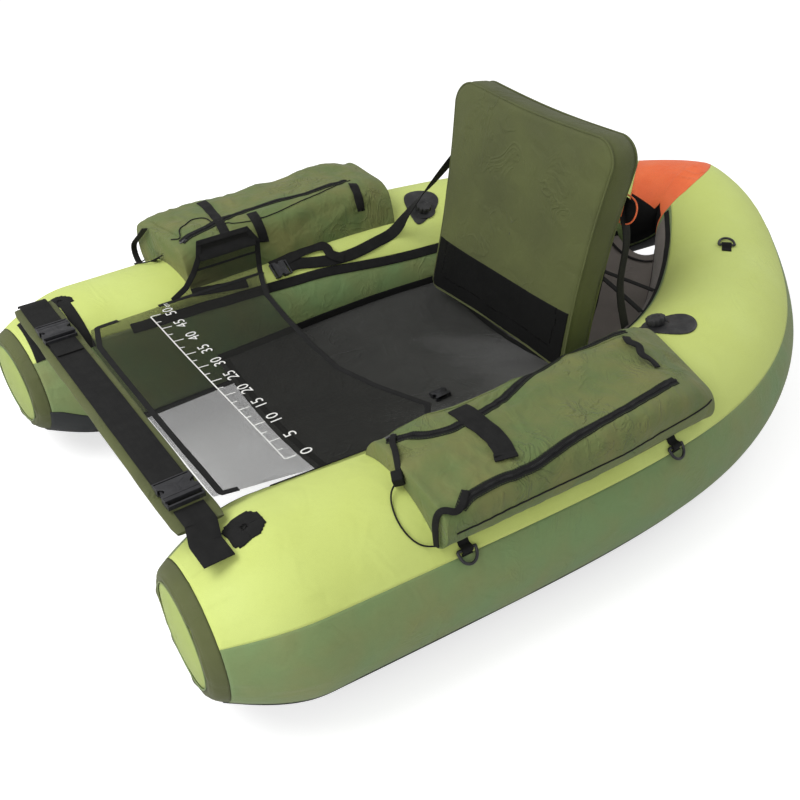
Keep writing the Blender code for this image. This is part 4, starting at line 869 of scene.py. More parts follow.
def skinOffset(run, angle):
    run, angle = together(run, angle)
    turn = np.mod(angle, 360)
    near = sternEdge(turn)
    stern = (run < near) & (run > -hull["sternRight"])
    metres = math.radians(1) * hull["halfWidth"]
    offset = skin["sag"] * (cloudNoise(np.stack([run, turn * metres, run * 0], -1), skin["sagSize"], 3) - 0.2)
    seams = [(abs(turn - hull["outerSeam"]) * metres, 1.0, run), (abs(turn - innerEdge(run)) * metres, ~stern, run),
             (abs(turn - hull["sternSeam"]) * metres, stern, run)]
    seams += [(abs(run - near), 1.0, turn * metres), (abs(run + hull["sternRight"]), 1.0, turn * metres)]
    for index, (away, where, along) in enumerate(seams):
        wave = lineNoise(along, skin["puckerSize"], 20 + index)
        offset = offset - where * skin["dip"] * np.exp(-(away / skin["dipReach"]) ** 2)
        offset = offset + where * skin["pucker"] * wave * np.exp(-away / skin["puckerReach"])
    tip = smoothStep(abs(run), halfRun - skin["gatherReach"], halfRun - 0.015)
    folds = cloudNoise(np.stack([turn * metres / skin["gatherSize"], run / 0.07, run * 0], -1), 1.0, 9)
    return np.maximum(offset + skin["gather"] * (folds - 0.2) * tip, skin["least"])


def skinPoint(run, angle, lift=0.0):
    return hullPoint(run, angle, skinOffset(run, angle) + lift)


def skinGrid(start, end, low, high, lift=0.0):
    rows = max(int(abs(end - start) / skin["spacing"]), 4)
    columns = max(int(math.radians(high - low) * hull["halfWidth"] / skin["spacing"]), 4)
    share, spread = np.meshgrid(np.linspace(0, 1, rows), np.linspace(0, 1, columns), indexing="ij")
    seam = innerEdge(start + (end - start) * share)
    low = seam if low == hull["innerSeam"] else low
    high = seam if high == hull["innerSeam"] else high
    angle = low + (high - low) * spread
    first = sternEdge(angle) if start == hull["sternLeft"] else start
    last = sternEdge(angle) if end == hull["sternLeft"] else end
    run = first + (last - first) * share
    return skinPoint(run, angle, lift), np.stack([np.radians(angle) * hull["halfWidth"], run], -1)


valves = {
    "left": {"seat": (0.3126, 0.2159, 0.2646), "axis": (-0.3032, -0.1015, 0.9475), "run": 0.593},
    "right": {"seat": (-0.3233, 0.1595, 0.2634), "axis": (0.3134, -0.0573, 0.9479), "run": -0.655},
}


def openFaces(item, places, radius):
    # Takes away the faces near some places, as a valve's hole in the cloth
    def near(face):
        return any((face.calc_center_median() - Vector(place)).length < radius for place in places)

    def cut(mesh):
        bmesh.ops.delete(mesh, geom=[face for face in mesh.faces if near(face)], context="FACES")

    editMesh(item.data, cut)


skinEnd = halfRun - 0.020
valveHole = 0.0125
spans = {
    "left": (hull["sternLeft"], skinEnd), "right": (-skinEnd, -hull["sternRight"]),
    "stern": (-hull["sternRight"], hull["sternLeft"]),
}
above, below = (hull["outerSeam"], hull["innerSeam"]), (hull["innerSeam"], hull["outerSeam"] + 360)
covers = [
    ("limeCoverLeft", "lime", "left", above, "top_cover_left"),
    ("limeCoverRight", "lime", "right", above, "top_cover_right"),
    ("oliveCoverLeft", "olive", "left", below, "lower_cover_left"),
    ("oliveCoverRight", "olive", "right", below, "lower_cover_right"),
    ("orangePanel", "orange", "stern", (hull["outerSeam"], hull["sternSeam"]), "stern_panel"),
    ("oliveCoverStern", "olive", "stern", (hull["sternSeam"], hull["outerSeam"] + 360), "lower_cover_stern"),
]
coverPieces = []
for name, key, part, angles, node in covers:
    grid, uv = skinGrid(*spans[part], *angles)
    cover = gridObject(name, grid, paint[key], uv=uv)
    openFaces(cover, [place["seat"] for place in valves.values()], valveHole)
    thicken(cover, hull["coverThickness"] * 0.5)
    coverPieces.append(finishPiece(cover, "hull", f"{key}_cloth", node))
hullTree = surfaceTree(*coverPieces)
print("covers made")


# Tips: a gathered olive collar round a lime disc

tips = {"fold": 0.0022, "ring": 0.017, "skin": 0.0024, "dome": 0.009, "columns": 150, "round": 0.010, "welt": 0.0022}


def tipRing(sign, share, out, angles):
    place, outward, halfWidth, middle = hullFrame(sign * halfRun)
    along = np.array([outward[1], -outward[0], 0.0])
    along *= -np.sign(along[1])
    flat = halfWidth * share * np.cos(angles)
    rise = halfWidth * hull["flattening"] * share * np.sin(angles)
    spread = np.concatenate([outward * flat[:, None], (middle + rise)[:, None]], 1)
    return spread + np.r_[place, 0.0] + along * np.asarray(out, float)[..., None]


for side, sign in (("left", 1), ("right", -1)):
    turns = np.linspace(0, math.tau, tips["columns"], endpoint=False)
    degrees = np.degrees(turns)
    rows = [skinPoint(sign * run, degrees) for run in np.linspace(skinEnd + 0.0006, halfRun - tips["round"], 4)]
    for step in np.linspace(0.15, 0.98, 8):
        bend = step * math.pi / 2
        run = halfRun - tips["round"] * (1 - math.sin(bend))
        lift = skinOffset(sign * run, degrees) * 0.8 - tips["round"] * 0.5 * (1 - math.cos(bend))
        rows.append(hullPoint(sign * run, degrees, lift))
    hole = (hull["tipHalfWidth"] - tips["ring"]) / hull["tipHalfWidth"]
    for share in np.linspace(0.935, hole, 7):
        spots = np.stack([np.cos(turns) * 5, np.sin(turns) * 5, turns * 0 + share * 3], -1)
        rows.append(tipRing(sign, share, tips["skin"] + tips["fold"] * cloudNoise(spots, 1.0, 31), turns))
    collar = gridObject(f"tipCollar{side.title()}", np.array(rows), paint["back"], 0.0012, closed=True)
    if sign < 0:
        collar.data.flip_normals()
    finishPiece(collar, "hull", "olive_cloth", f"tip_collar_{side}")
    face = hole - 0.004
    shares = np.linspace(1, 0.02, 16)
    disc = np.array([tipRing(sign, face * share, tips["skin"] - 0.001 + tips["dome"] * 0.9 * (1 - share**2.2), turns)
                     for share in shares])
    # The disc wears the darker copy of the lime cloth, which is painted shade
    discItem = gridObject(f"tipDisc{side.title()}", disc, paint["disc"], 0.0015, closed=True)
    if sign < 0:
        discItem.data.flip_normals()
    boxMap(discItem)
    welt = tubeObject(f"tipWelt{side.title()}", tipRing(sign, hole, tips["skin"] + 0.0006, turns), tips["welt"] / 2,
                      paint["olive"], closed=True)
    finishPiece(discItem, "hull", "lime_cloth", f"tip_disc_{side}")
    finishPiece(welt, "hull", "olive_cloth")


# Soles. Their two edges are angles known at distances from the stern

soles = {
    "inset": 0.016, "lift": 0.0008,
    "inner": ((0, 1.38, 1.47, 1.545), (213, 210, 199, 187)),
    "outer": ((0, 0.30, 1.45, 1.55), (318, 323, 322, 316)),
}
soleEnd = halfRun - soles["inset"]
for side, low, high in (("left", 0.0, soleEnd), ("right", -soleEnd, 0.0)):
    grid, uv = skinGrid(low, high, hull["soleInner"], hull["soleOuter"])
    run, spread = np.meshgrid(np.linspace(low, high, grid.shape[0]), np.linspace(0, 1, grid.shape[1]), indexing="ij")
    first, last = np.interp(abs(run), *soles["inner"]), np.interp(abs(run), *soles["outer"])
    angle = first + (last - first) * spread
    grid = hullPoint(run, angle, hull["soleThickness"] + hull["layerGap"] + soles["lift"])
    grid[..., 2] = np.maximum(grid[..., 2], 0.0)
    sole = gridObject(f"sole{side.title()}", grid, paint["sole"], hull["soleThickness"], uv=uv)
    finishPiece(sole, "hull", "sole_cloth", f"sole_{side}")
print("tips and soles made")


# Seam threads of the hull

seamThreads = {"aside": 2.6, "count": 260, "inset": 0.03, "tipInset": 0.004, "lift": 0.0002}
seamRows = []
for sign in (1, -1):
    start = hull["sternLeft"] if sign > 0 else hull["sternRight"]
    ends = start + seamThreads["inset"], tipRun - seamThreads["tipInset"]
    for turn in (-1, 1):
        runs = sign * np.linspace(*ends, seamThreads["count"])
        angle = innerEdge(runs) + turn * seamThreads["aside"]
        seamRows.append((skinPoint(runs, angle, seamThreads["lift"]), hullNormal(runs, angle)))
stitchRow("limeStitches", seamRows[::2], "limeThread", "lime_cloth")
stitchRow("oliveStitches", seamRows[1::2], "oliveThread", "olive_cloth")


# Side bags

bagLook = {"front": 1.238, "outer": 42.0, "inner": 120.0, "gap": 0.0011, "round": 0.020, "endShare": 0.80,
           "rearReach": 0.22, "rows": 170, "columns": 84, "base": 24,
           "wrinkle": 0.0044, "wrinkleSize": 0.050, "slump": 0.0030, "slumpSize": 0.11,
           "top": ((0.985, 0.22), (0.940, 0.58), (0.870, 0.88), (0.770, 1.0), (0.550, 1.01), (0.300, 0.99),
                   (0.080, 0.96), (-0.055, 0.86), (-0.105, 0.52), (-0.060, 0.16))}
bags = lookTable("sign backs height fall rear seed", {
    "left": (1, (0.635, 0.725), 0.058, 0.40, 0.30, 4),
    "right": (-1, (0.740, 0.740), 0.066, 0.05, 1.0, 8),
})


def bagFoot(bag, along, across):
    # across is 0 at the outer foot and 1 at the inner one
    back = bag["backs"][0] + (bag["backs"][1] - bag["backs"][0]) * (1 - across)
    return bag["sign"] * (back + (bagLook["front"] - back) * along)


def bagSection(bag, share, squeeze):
    angles = np.linspace(bagLook["outer"], bagLook["inner"], bagLook["base"])
    across = (angles - bagLook["outer"]) / (bagLook["inner"] - bagLook["outer"])
    base = hullPoint(bagFoot(bag, share, across), angles, bagLook["gap"])
    outerFoot, innerFoot = base[0], base[-1]
    crown = base[:, 2].max()
    top = [innerFoot]
    for place, rise in bagLook["top"]:
        point = outerFoot + (innerFoot - outerFoot) * place
        point[2] += (crown + bag["height"] * squeeze - point[2]) * rise
        top.append(point)
    return base, smoothPath(np.array(top + [outerFoot]), bagLook["columns"])


def bagShell(side, bag):
    length = bagLook["front"] - sum(bag["backs"]) / 2
    inset, least = bagLook["round"] / length, bagLook["endShare"]
    ease = np.linspace(0, math.pi / 2, 8)
    ends = inset * 2 * (1 - np.cos(ease))
    shares = np.r_[ends, np.linspace(inset * 2, 1 - inset * 2, bagLook["rows"])[1:-1], (1 - ends)[::-1]]
    tops, bases = [], []
    for share in shares:
        endShare = min(share, 1 - share, inset * 2) / (inset * 2)
        squeeze = (1 - bag["fall"] * share**2) * (least + (1 - least) * math.sqrt(endShare))
        squeeze *= bag["rear"] + (1 - bag["rear"]) * math.sin(math.pi / 2 * min(share / bagLook["rearReach"], 1))
        base, top = bagSection(bag, share, squeeze)
        tops.append(top)
        bases.append(base)
    top = np.array(tops)
    along, across = np.gradient(top, axis=0), np.gradient(top, axis=1)
    normal = unit(np.cross(across, along) + 1e-9)
    normal *= np.sign(normal[len(shares) // 2, bagLook["columns"] // 2, 2])
    free = smoothStep(np.minimum(shares, 1 - shares), 0, 0.03)[:, None]
    free = free * np.sin(np.linspace(0, math.pi, bagLook["columns"]))[None, :] ** 0.35
    warp = top + 0.020 * np.stack([cloudNoise(top, 0.08, 50 + index) for index in range(3)], -1)
    wrinkle, size, seed = bagLook["wrinkle"], bagLook["wrinkleSize"], bag["seed"]
    bumps = wrinkle * (0.45 - 1.8 * abs(cloudNoise(warp * (1, 0.5, 0.8), size, seed)))
    bumps += wrinkle * 0.35 * (0.4 - 1.6 * abs(cloudNoise(warp * (0.6, 1, 1), size * 0.45, seed + 2)))
    bumps += bagLook["slump"] * (cloudNoise(top, bagLook["slumpSize"], seed + 1) - 0.3)
    top = top + normal * (bumps * free)[..., None]
    ring = np.concatenate([top, np.array(bases)[:, 1:-1]], 1)
    item = meshObject(f"sideBag{side.title()}", ring.reshape(-1, 3), hoseFaces(*ring.shape[:2]), paint["bag"])
    return finishPiece(boxMap(faceOut(item, 60)), "hull", "bag_cloth", f"side_bag_{side}")


bagPieces = {side: bagShell(side, bag) for side, bag in bags.items()}
bagTrees = {side: surfaceTree(item) for side, item in bagPieces.items()}
print("bags made")


def onBag(side, spots, count=0, lift=0.0):
    # Points and normals on a bag's top, from (along, across) places
    bag = bags[side]
    along, across = np.array(spots, float).T
    outer = hullPoint(bagFoot(bag, along, across), bagLook["outer"], bagLook["gap"])
    inner = hullPoint(bagFoot(bag, along, across), bagLook["inner"], bagLook["gap"])
    plan = outer + (inner - outer) * across[:, None]
    plan[:, 2] = 0.45
    if count:
        plan = smoothPath(plan, count) if len(plan) > 2 else np.linspace(plan[0], plan[-1], count)
    points, normals = dropAll(bagTrees[side], plan, lift)
    kernel = np.array([1, 2, 3, 2, 1]) / 9
    if len(points) > 8:
        wide = np.concatenate([normals[:1]] * 2 + [normals] + [normals[-1:]] * 2)
        normals = unit(np.stack([np.convolve(wide[:, axis], kernel, "valid") for axis in range(3)], 1))
    return points, normals


zipTape = {"width": 0.0165, "thickness": 0.0009}
zipTeeth = {"Spacing": 0.0026, "Length": 0.0019, "Width": 0.0042, "Height": 0.0008, "Square": True}


def zipLine(name, side, spots, count=120):
    points, normals = onBag(side, spots, count, 0.0004)
    strapPiece(name + "Tape", points, normals, zipTape["width"], zipTape["thickness"], "tape", curl=-0.0006)
    raised = points + normals * (zipTape["thickness"] + 0.0005)
    finishPiece(beadRow(name + "Teeth", [(raised, normals)], paint["thread"], **zipTeeth), "hull", "plastic")
    sideways = frameAlong(points, normals)[1] * zipTape["width"]
    edges = [(points + sideways * share + normals * 0.0009, normals) for share in (-0.42, 0.42)]
    stitchRow(name + "Stitches", edges, "oliveThread", "webbing")


zipLine("nearInnerZip", "left", [
    (.975, .800), (.925, .690), (.850, .600), (.770, .600), (.654, .667), (.459, .857), (.166, .773),
])
zipLine("nearOuterZip", "left", [
    (.955, -.060), (.925, -.030), (.870, -.012), (.818, -.008), (.710, -.018), (.602, .011), (.444, .048),
    (.277, .067), (.144, .092),
])
zipLine("farFlapLine", "right", [(.965, .759), (.860, .690), (.639, .600), (.351, .650), (.150, .600)], 90)
print("zips made")


# Backrest

back = {"width": 0.430, "height": 0.440, "depth": 0.062, "lean": math.radians(8.8), "foot": (0, 0.0960, 0.1500),
        "corner": 0.046, "footCorner": 0.022,
        "edge": 0.013, "crown": 0.009, "drawIn": 0.006, "sideDraw": 0.013, "waist": 0.011, "arc": 14,
        "edgePoints": 26, "welt": 0.0042,
        "wrinkle": 0.0022, "wrinkleSize": 0.05, "panelTop": 0.118}
backUp = np.array([0, math.sin(back["lean"]), math.cos(back["lean"])])
backRear = np.array([0, math.cos(back["lean"]), -math.sin(back["lean"])])


def backPlace(across, height, depth):
    across, height, depth = together(across, height, depth)
    sideways = across[..., None] * np.array([1, 0, 0])
    return np.array(back["foot"]) + sideways + height[..., None] * backUp + depth[..., None] * backRear


def backLoop(inset):
    # The cushion's outline in its own plane, drawn in between its corners
    half, middle = back["width"] / 2, back["height"] / 2
    corners = ((1, 1, back["corner"]), (-1, 1, back["corner"]), (-1, -1, back["footCorner"]),
               (1, -1, back["footCorner"]))
    arcs = []
    for quarter, (side, rise, radius) in enumerate(corners):
        reach = max(radius - inset, radius / 4)
        hub = np.array([side * (half - inset - reach), middle + rise * (middle - inset - reach)])
        bearings = np.radians(90 * quarter + np.linspace(0, 90, back["arc"]))
        arcs.append(hub + reach * np.stack([np.cos(bearings), np.sin(bearings)], 1))
    loop = []
    for quarter, arc in enumerate(arcs):
        loop.append(arc)
        start, end = arc[-1], arcs[(quarter + 1) % 4][0]
        share = np.linspace(0, 1, back["edgePoints"] + 2)[1:-1, None]
        points = start + (end - start) * share
        axis = 1 - quarter % 2
        centre = (0, middle)[axis]
        draw = (back["sideDraw"], back["drawIn"])[axis] * np.sin(math.pi * share[:, 0])
        points[:, axis] += np.sign(centre - points[:, axis]) * draw
        loop.append(points)
    loop = np.concatenate(loop)
    loop[:, 0] *= 1 - back["waist"] / half * np.maximum(1 - loop[:, 1] / middle, 0)
    return loop


half = back["width"] / 2
crown, rim, far = back["crown"], back["edge"], back["depth"]
profile = smoothPath([
    (0.93, -crown), (0.80, -crown), (0.55, -crown * 0.96), (0.30, -crown * 0.78), (0.12, -crown * 0.42),
    (0.040, -0.0015), (0.012, 0.0030), (0.0, rim), (0.0, far / 2), (0.0, far - rim), (0.012, far - 0.0035),
    (0.040, far + 0.0005), (0.14, far + crown * 0.2), (0.45, far + crown * 0.38), (0.93, far + crown * 0.4),
], 78)
rings = []
for share, depth in profile:
    loop = backLoop(max(share, 0) * half)
    rings.append(backPlace(loop[:, 0], loop[:, 1], depth))
rings = np.array(rings)
bumps = back["wrinkle"] * (cloudNoise(rings, back["wrinkleSize"], 12) - 0.1) + 0.0004 * cloudNoise(rings, 0.014, 13)
bumps = np.maximum(bumps, -0.0003) + 0.0005
centre = backPlace(0, back["height"] / 2, back["depth"] / 2)
rings = rings + unit(rings - centre) * bumps[..., None]
faces = hoseFaces(*rings.shape[:2], True)
cushion = faceOut(meshObject("backrestCover", rings.reshape(-1, 3), faces, paint["back"]))
finishPiece(boxMap(cushion), "backrest", "olive_cloth", "backrest_cover")
padPoints = (centre + (rings - centre) * (0.87, 0.80, 0.87)).reshape(-1, 3)
innerPad = meshObject("backrestBladder", padPoints, faces, paint["orange"])
finishPiece(boxMap(innerPad), "backrest", "bladder", "backrest_bladder")
for label, depth in (("Front", 0.0022), ("Rear", back["depth"] - 0.0025)):
    loop = backLoop(0.012 * half)
    path = backPlace(loop[:, 0], loop[:, 1], depth)
    path = path + unit(path - centre) * 0.0006
    welt = tubeObject(f"backrestWelt{label}", path, back["welt"] / 2, paint["back"], closed=True)
    finishPiece(welt, "backrest", "olive_cloth")
cushionTree = surfaceTree(cushion)
rise = np.linspace(-0.0030, back["panelTop"], 44)[:, None]
waist = back["waist"] * np.maximum(1 - rise / (back["height"] / 2), 0)
reach = half + 0.0005 - waist - back["sideDraw"] * np.sin(math.pi * rise / back["height"])
across = np.linspace(-1, 1, 120)[None, :] * reach
spots = backPlace(across, rise, -0.05)
panel = np.array([[dropOnto(cushionTree, spot, backRear, 0.03, 0.0010)[0] for spot in row] for row in spots])
panelItem = gridObject("backrestPanel", panel, paint["black"], 0.0005,
                       uv=np.stack(np.broadcast_arrays(across, rise), -1), lookAt=(0, -1, 0))
finishPiece(panelItem, "backrest", "olive_cloth")
print("backrest made")


# Mesh seat and cargo floor, hung between the inner walls

slings = lookTable("front back angle sag fold rows columns paint node tape seed", {
    "seatSling": (-0.405, 0.160, 181, 0.034, 0.004, 110, 96, "seatMesh", "seat_sling", 0.020, 2),
    "cargoFloor": (0.168, 0.500, 185, 0.020, 0.002, 70, 80, "cargoMesh", "cargo_floor", 0.016, 3),
})
meshSheet = {"thickness": 0.0012, "wrinkle": 0.0016, "wrinkleSize": 0.06, "gap": 0.0012}


def slingSheet(name, look):
    legs = np.linspace(halfRun * (1 - hull["tipTaper"]), 0, 400)
    wall = hullPoint(legs, look["angle"], 0.0006)[:, 1]
    places = np.linspace(look["front"], look["back"], look["rows"])
    runs = np.interp(places, wall, legs)
    left, right = skinPoint(runs, look["angle"], meshSheet["gap"]), skinPoint(-runs, look["angle"], meshSheet["gap"])
    across = np.linspace(0, 1, look["columns"])
    grid = left[:, None] + (right - left)[:, None] * across[None, :, None]
    hang = 1 - (2 * across - 1) ** 2
    along = (places - look["front"]) / (look["back"] - look["front"])
    ripple = look["fold"] * np.sin(3 * math.pi * along)[:, None] * np.sin(math.tau * across)[None, :]
    free = (np.sin(math.pi * across)[None, :] * np.sin(math.pi * np.clip(along, 0.02, 0.98))[:, None]) ** 0.5
    noise = meshSheet["wrinkle"] * cloudNoise(grid * (1, 0.6, 1), meshSheet["wrinkleSize"], look["seed"])
    grid[..., 2] += ripple - look["sag"] * hang[None, :] + noise * free
    sheetItem = gridObject(name, grid, paint[look["paint"]], uv=grid[..., :2].copy(), lookAt=(0, 0, 1))
    thicken(sheetItem, meshSheet["thickness"])
    finishPiece(sheetItem, "hull", "mesh", look["node"])
    for index, sign in enumerate((1, -1)):
        ups = skinPoint(sign * runs, look["angle"] - degreesFor(look["tape"] * 0.35), 0.0007)
        looks = hullNormal(sign * runs, look["angle"])
        strapPiece(f"{name}Edge{index}", ups, looks, look["tape"], 0.0012, "tape", drift=0.0012)
    for index, row in enumerate((3, look["rows"] - 4)):
        path = grid[row, 1:-1] + (0, 0, 0.0002)
        strapPiece(f"{name}Hem{index}", path, (0, 0, 1), 0.012, 0.0008, "tape")
    return sheetItem


slingItems = [slingSheet(name, look) for name, look in slings.items()]
seatTree = surfaceTree(slingItems[0])
cargoStraps = {"width": 0.012, "thickness": 0.0016, "angle": 150, "near": 0.24, "far": 0.30, "gap": 0.0005}
cargoRows = (
    ("cargoStrapLow", "cargo_strap_low", "near", "far", 0.0),
    ("cargoStrapHigh", "cargo_strap_high", "far", "near", 0.008),
)
for name, node, leftShare, rightShare, lift in cargoRows:
    reach = cargoStraps["gap"] + cargoStraps["width"] * 0.28
    left = hullPoint(cargoStraps[leftShare] * halfRun, cargoStraps["angle"], reach)
    right = hullPoint(-cargoStraps[rightShare] * halfRun, cargoStraps["angle"], reach)
    share = np.linspace(0, 1, 60)
    path = left + (right - left) * share[:, None]
    path[:, 2] += lift * np.sin(math.pi * share) ** 0.8 - 0.0008
    sizes = cargoStraps["width"], cargoStraps["thickness"]
    strapPiece(name, path, (0, 0, 1), *sizes, stands=[node], curl=-0.0004)
print("slings made")


# Lap apron with a printed ruler

apron = {
    "height": 0.262, "front": -0.6455, "halfSpan": 0.300, "rise": 0.021, "riseStart": -0.500, "thickness": 0.0012,
    "wrinkle": 0.0020, "wrinkleSize": 0.07, "hem": 0.010,
    "rows": ((1.000, 0.583, 0.515, 0.985), (0.950, 0.775, 0.420, 0.990), (0.873, 1.000, 0.385, 1.000),
             (0.567, 1.000, 0.447, 1.000), (0.290, 1.000, 0.483, 0.996),
             (0.000, 1.000, 0.480, 0.992), (-0.333, 1.000, 0.469, 0.992), (-0.667, 1.000, 0.451, 0.998),
             (-0.880, 0.970, 0.415, 1.000), (-0.945, 0.720, 0.405, 1.000)),
    "flapRows": ((-0.9464, 0.715, 0.405, 1.001), (-0.990, 0.660, 0.398, 1.040), (-1.012, 0.625, 0.394, 1.120),
                 (-1.022, 0.600, 0.391, 1.220), (-1.050, 0.585, 0.420, 1.330)),
}


def apronSheet(rows, fine, columns, seed):
    rows = np.array(rows)
    place = np.linspace(0, len(rows) - 1, fine)
    span, front, rear, height = (np.interp(place, np.arange(len(rows)), column)[:, None] for column in rows.T)
    share = np.linspace(0, 1, columns)[None, :]
    y = apron["front"] * (front + (rear - front) * share)
    climb = np.clip((apron["riseStart"] - y) / (apron["riseStart"] - apron["front"]), 0, 1)
    x = apron["halfSpan"] * span + apron["rise"] * climb
    grid = np.stack([x, y, apron["height"] * height + apron["rise"] * climb], -1)
    edge = np.minimum(place, len(rows) - 1 - place) / (len(rows) - 1)
    free = smoothStep(np.minimum(share, 1 - share), 0, 0.2) * smoothStep(edge, 0, 0.15)[:, None]
    grid[..., 2] += apron["wrinkle"] * (cloudNoise(grid * (0.6, 1, 1), apron["wrinkleSize"], seed) - 0.2) * free
    return grid


apronGrid = apronSheet(apron["rows"], 150, 90, 6)
apronItem = gridObject("apronSheet", apronGrid, paint["apronMesh"], uv=apronGrid[..., :2].copy(), lookAt=(0, 0, 1))
apronTree = surfaceTree(apronItem)
thicken(apronItem, apron["thickness"] * 0.25)
finishPiece(apronItem, "bar", "mesh", "apron")
edges = (("Rear", apronGrid[:, -3]), ("Near", apronGrid[2, :]), ("Front", apronGrid[30:-12, 3]),
         ("Far", apronGrid[-3, :]))
for label, edge in edges:
    path = edge + (0, 0, 0.0002)
    strapPiece(f"apronHem{label}", path, (0, 0, 1), apron["hem"], 0.0009, "tape", "bar")
flapGrid = apronSheet(apron["flapRows"], 60, 60, 7)
flapItem = gridObject("apronFlap", flapGrid, paint["apronMesh"],
                      uv=np.stack([flapGrid[..., 2], flapGrid[..., 1]], -1), lookAt=(1, 0, 0.5))
thicken(flapItem, apron["thickness"] * 0.25)
finishPiece(flapItem, "hull", "mesh", "apron_flap")
flapEdges = (
    ("Front", flapGrid[:, 2], 0.011), ("Rear", flapGrid[:, -3], 0.011), ("Top", flapGrid[-2, :], 0.010),
    ("Band", flapGrid[-12, 2:-2], 0.030), ("Fold", flapGrid[-28, 2:-2], 0.004),
)
for label, edge, width in flapEdges:
    path = edge + (0.0006, 0, 0.0006)
    strapPiece(f"flapHem{label}", path, (0.8, 0, 0.6), width, 0.0009, "tape")

ruler = {"left": -0.25, "right": 0.25, "y": -0.5125, "count": 50, "ticks": 20, "width": 0.0026, "short": 0.0090,
         "long": 0.0185, "lift": 0.0012, "digit": 0.029, "unit": 0.016, "gap": 0.006}


def onApron(plan, lift):
    return dropAll(apronTree, [(x, y, 0.4) for x, y in plan], lift)[0]


def rulerMarks():
    points, faces = [], []
    bars = [(ruler["left"], ruler["right"], ruler["y"] - ruler["width"], ruler["y"])]
    for step in range(ruler["ticks"] + 1):
        x = ruler["right"] - (ruler["right"] - ruler["left"]) * step / ruler["ticks"]
        reach = ruler["short"] if step % 2 else ruler["long"]
        bars.append((x - ruler["width"] * 0.45, x + ruler["width"] * 0.45, ruler["y"], ruler["y"] + reach))
    for low, high, near, far in bars:
        cuts = max(int((high - low) / 0.01), 1) + 1
        start = len(points)
        points += [(x, y) for y in (near, far) for x in np.linspace(low, high, cuts)]
        faces += gridFaces(2, cuts, False, start)
    spots = onApron(points, ruler["lift"])
    return meshObject("rulerMarks", spots, faces, paint["print"])


def repaint(item, key):
    item.data.materials.clear()
    item.data.materials.append(paint[key])


def rulerDigits():
    parts = []
    labels = [(step, str(step), ruler["digit"], 0.0) for step in range(0, ruler["count"] + 1, 5)]
    labels.append((ruler["count"], "cm", ruler["unit"], 0.026))
    for step, label, size, shift in labels:
        text = bpy.data.curves.new("digits", "FONT")
        text.body = label
        text.size = size
        text.align_x = "CENTER"
        text.resolution_u = 3
        item = newObject(f"digits{label}", text)
        x = ruler["right"] - (ruler["right"] - ruler["left"]) * step / ruler["count"] - shift
        item.rotation_euler = (0, 0, math.pi)
        item.location = (x, ruler["y"] + ruler["long"] + ruler["gap"] + ruler["digit"] * 0.72, 0)
        bpy.context.view_layer.update()
        flat = plainMesh(item)
        repaint(flat, "print")
        editMesh(flat.data, lambda mesh: bmesh.ops.triangulate(mesh, faces=mesh.faces))
        plan = [(vertex.co.x, vertex.co.y) for vertex in flat.data.vertices]
        for vertex, spot in zip(flat.data.vertices, onApron(plan, ruler["lift"])):
            vertex.co = spot
        parts.append(flat)
    return joinPieces("rulerDigits", parts)


for item in (rulerMarks(), rulerDigits()):
    finishPiece(item, "bar", "mesh")
print("apron made")


# Blocks and buckles

def placeSolid(mesh, name, place, axes, material):
    # A built mesh as an object, turned to its axes and moved to its place
    data = bpy.data.meshes.new(name)
    mesh.to_mesh(data)
    mesh.free()
    data.transform(Matrix.Translation(Vector(place)) @ Matrix(np.array(axes).T.tolist()).to_4x4())
    data.materials.append(material)
    return shade(newObject(name, data), 35)


def blockObject(name, size, centre, axes, material, bevel=0.0008):
    mesh = bmesh.new()
    bmesh.ops.create_cube(mesh, size=1.0)
    bmesh.ops.scale(mesh, vec=size, verts=mesh.verts)
    offset = min(bevel, min(size) * 0.45)
    bmesh.ops.bevel(mesh, geom=mesh.edges[:], offset=offset, segments=3, profile=0.6, affect="EDGES")
    return placeSolid(mesh, name, centre, axes, material)


def plateObject(name, outline, bottom, top, place, axes, material, bevel):
    # An outline in a buckle's own plane, raised between two levels and rounded
    mesh = bmesh.new()
    face = mesh.faces.new([mesh.verts.new((ahead, side, bottom)) for ahead, side in outline])
    made = bmesh.ops.extrude_face_region(mesh, geom=[face])["geom"]
    raised = [part for part in made if isinstance(part, bmesh.types.BMVert)]
    bmesh.ops.translate(mesh, vec=(0, 0, top - bottom), verts=raised)
    bmesh.ops.recalc_face_normals(mesh, faces=mesh.faces)
    rims = [edge for edge in mesh.edges if abs(edge.verts[0].co.z - edge.verts[1].co.z) < 1e-6]
    bmesh.ops.bevel(mesh, geom=rims, offset=bevel, segments=2, profile=0.6, affect="EDGES")
    return placeSolid(mesh, name, place, axes, material)


buckleLook = {"wall": 0.0022, "prong": 0.62, "fit": 0.0005, "bevel": 0.0007, "notch": 0.30}


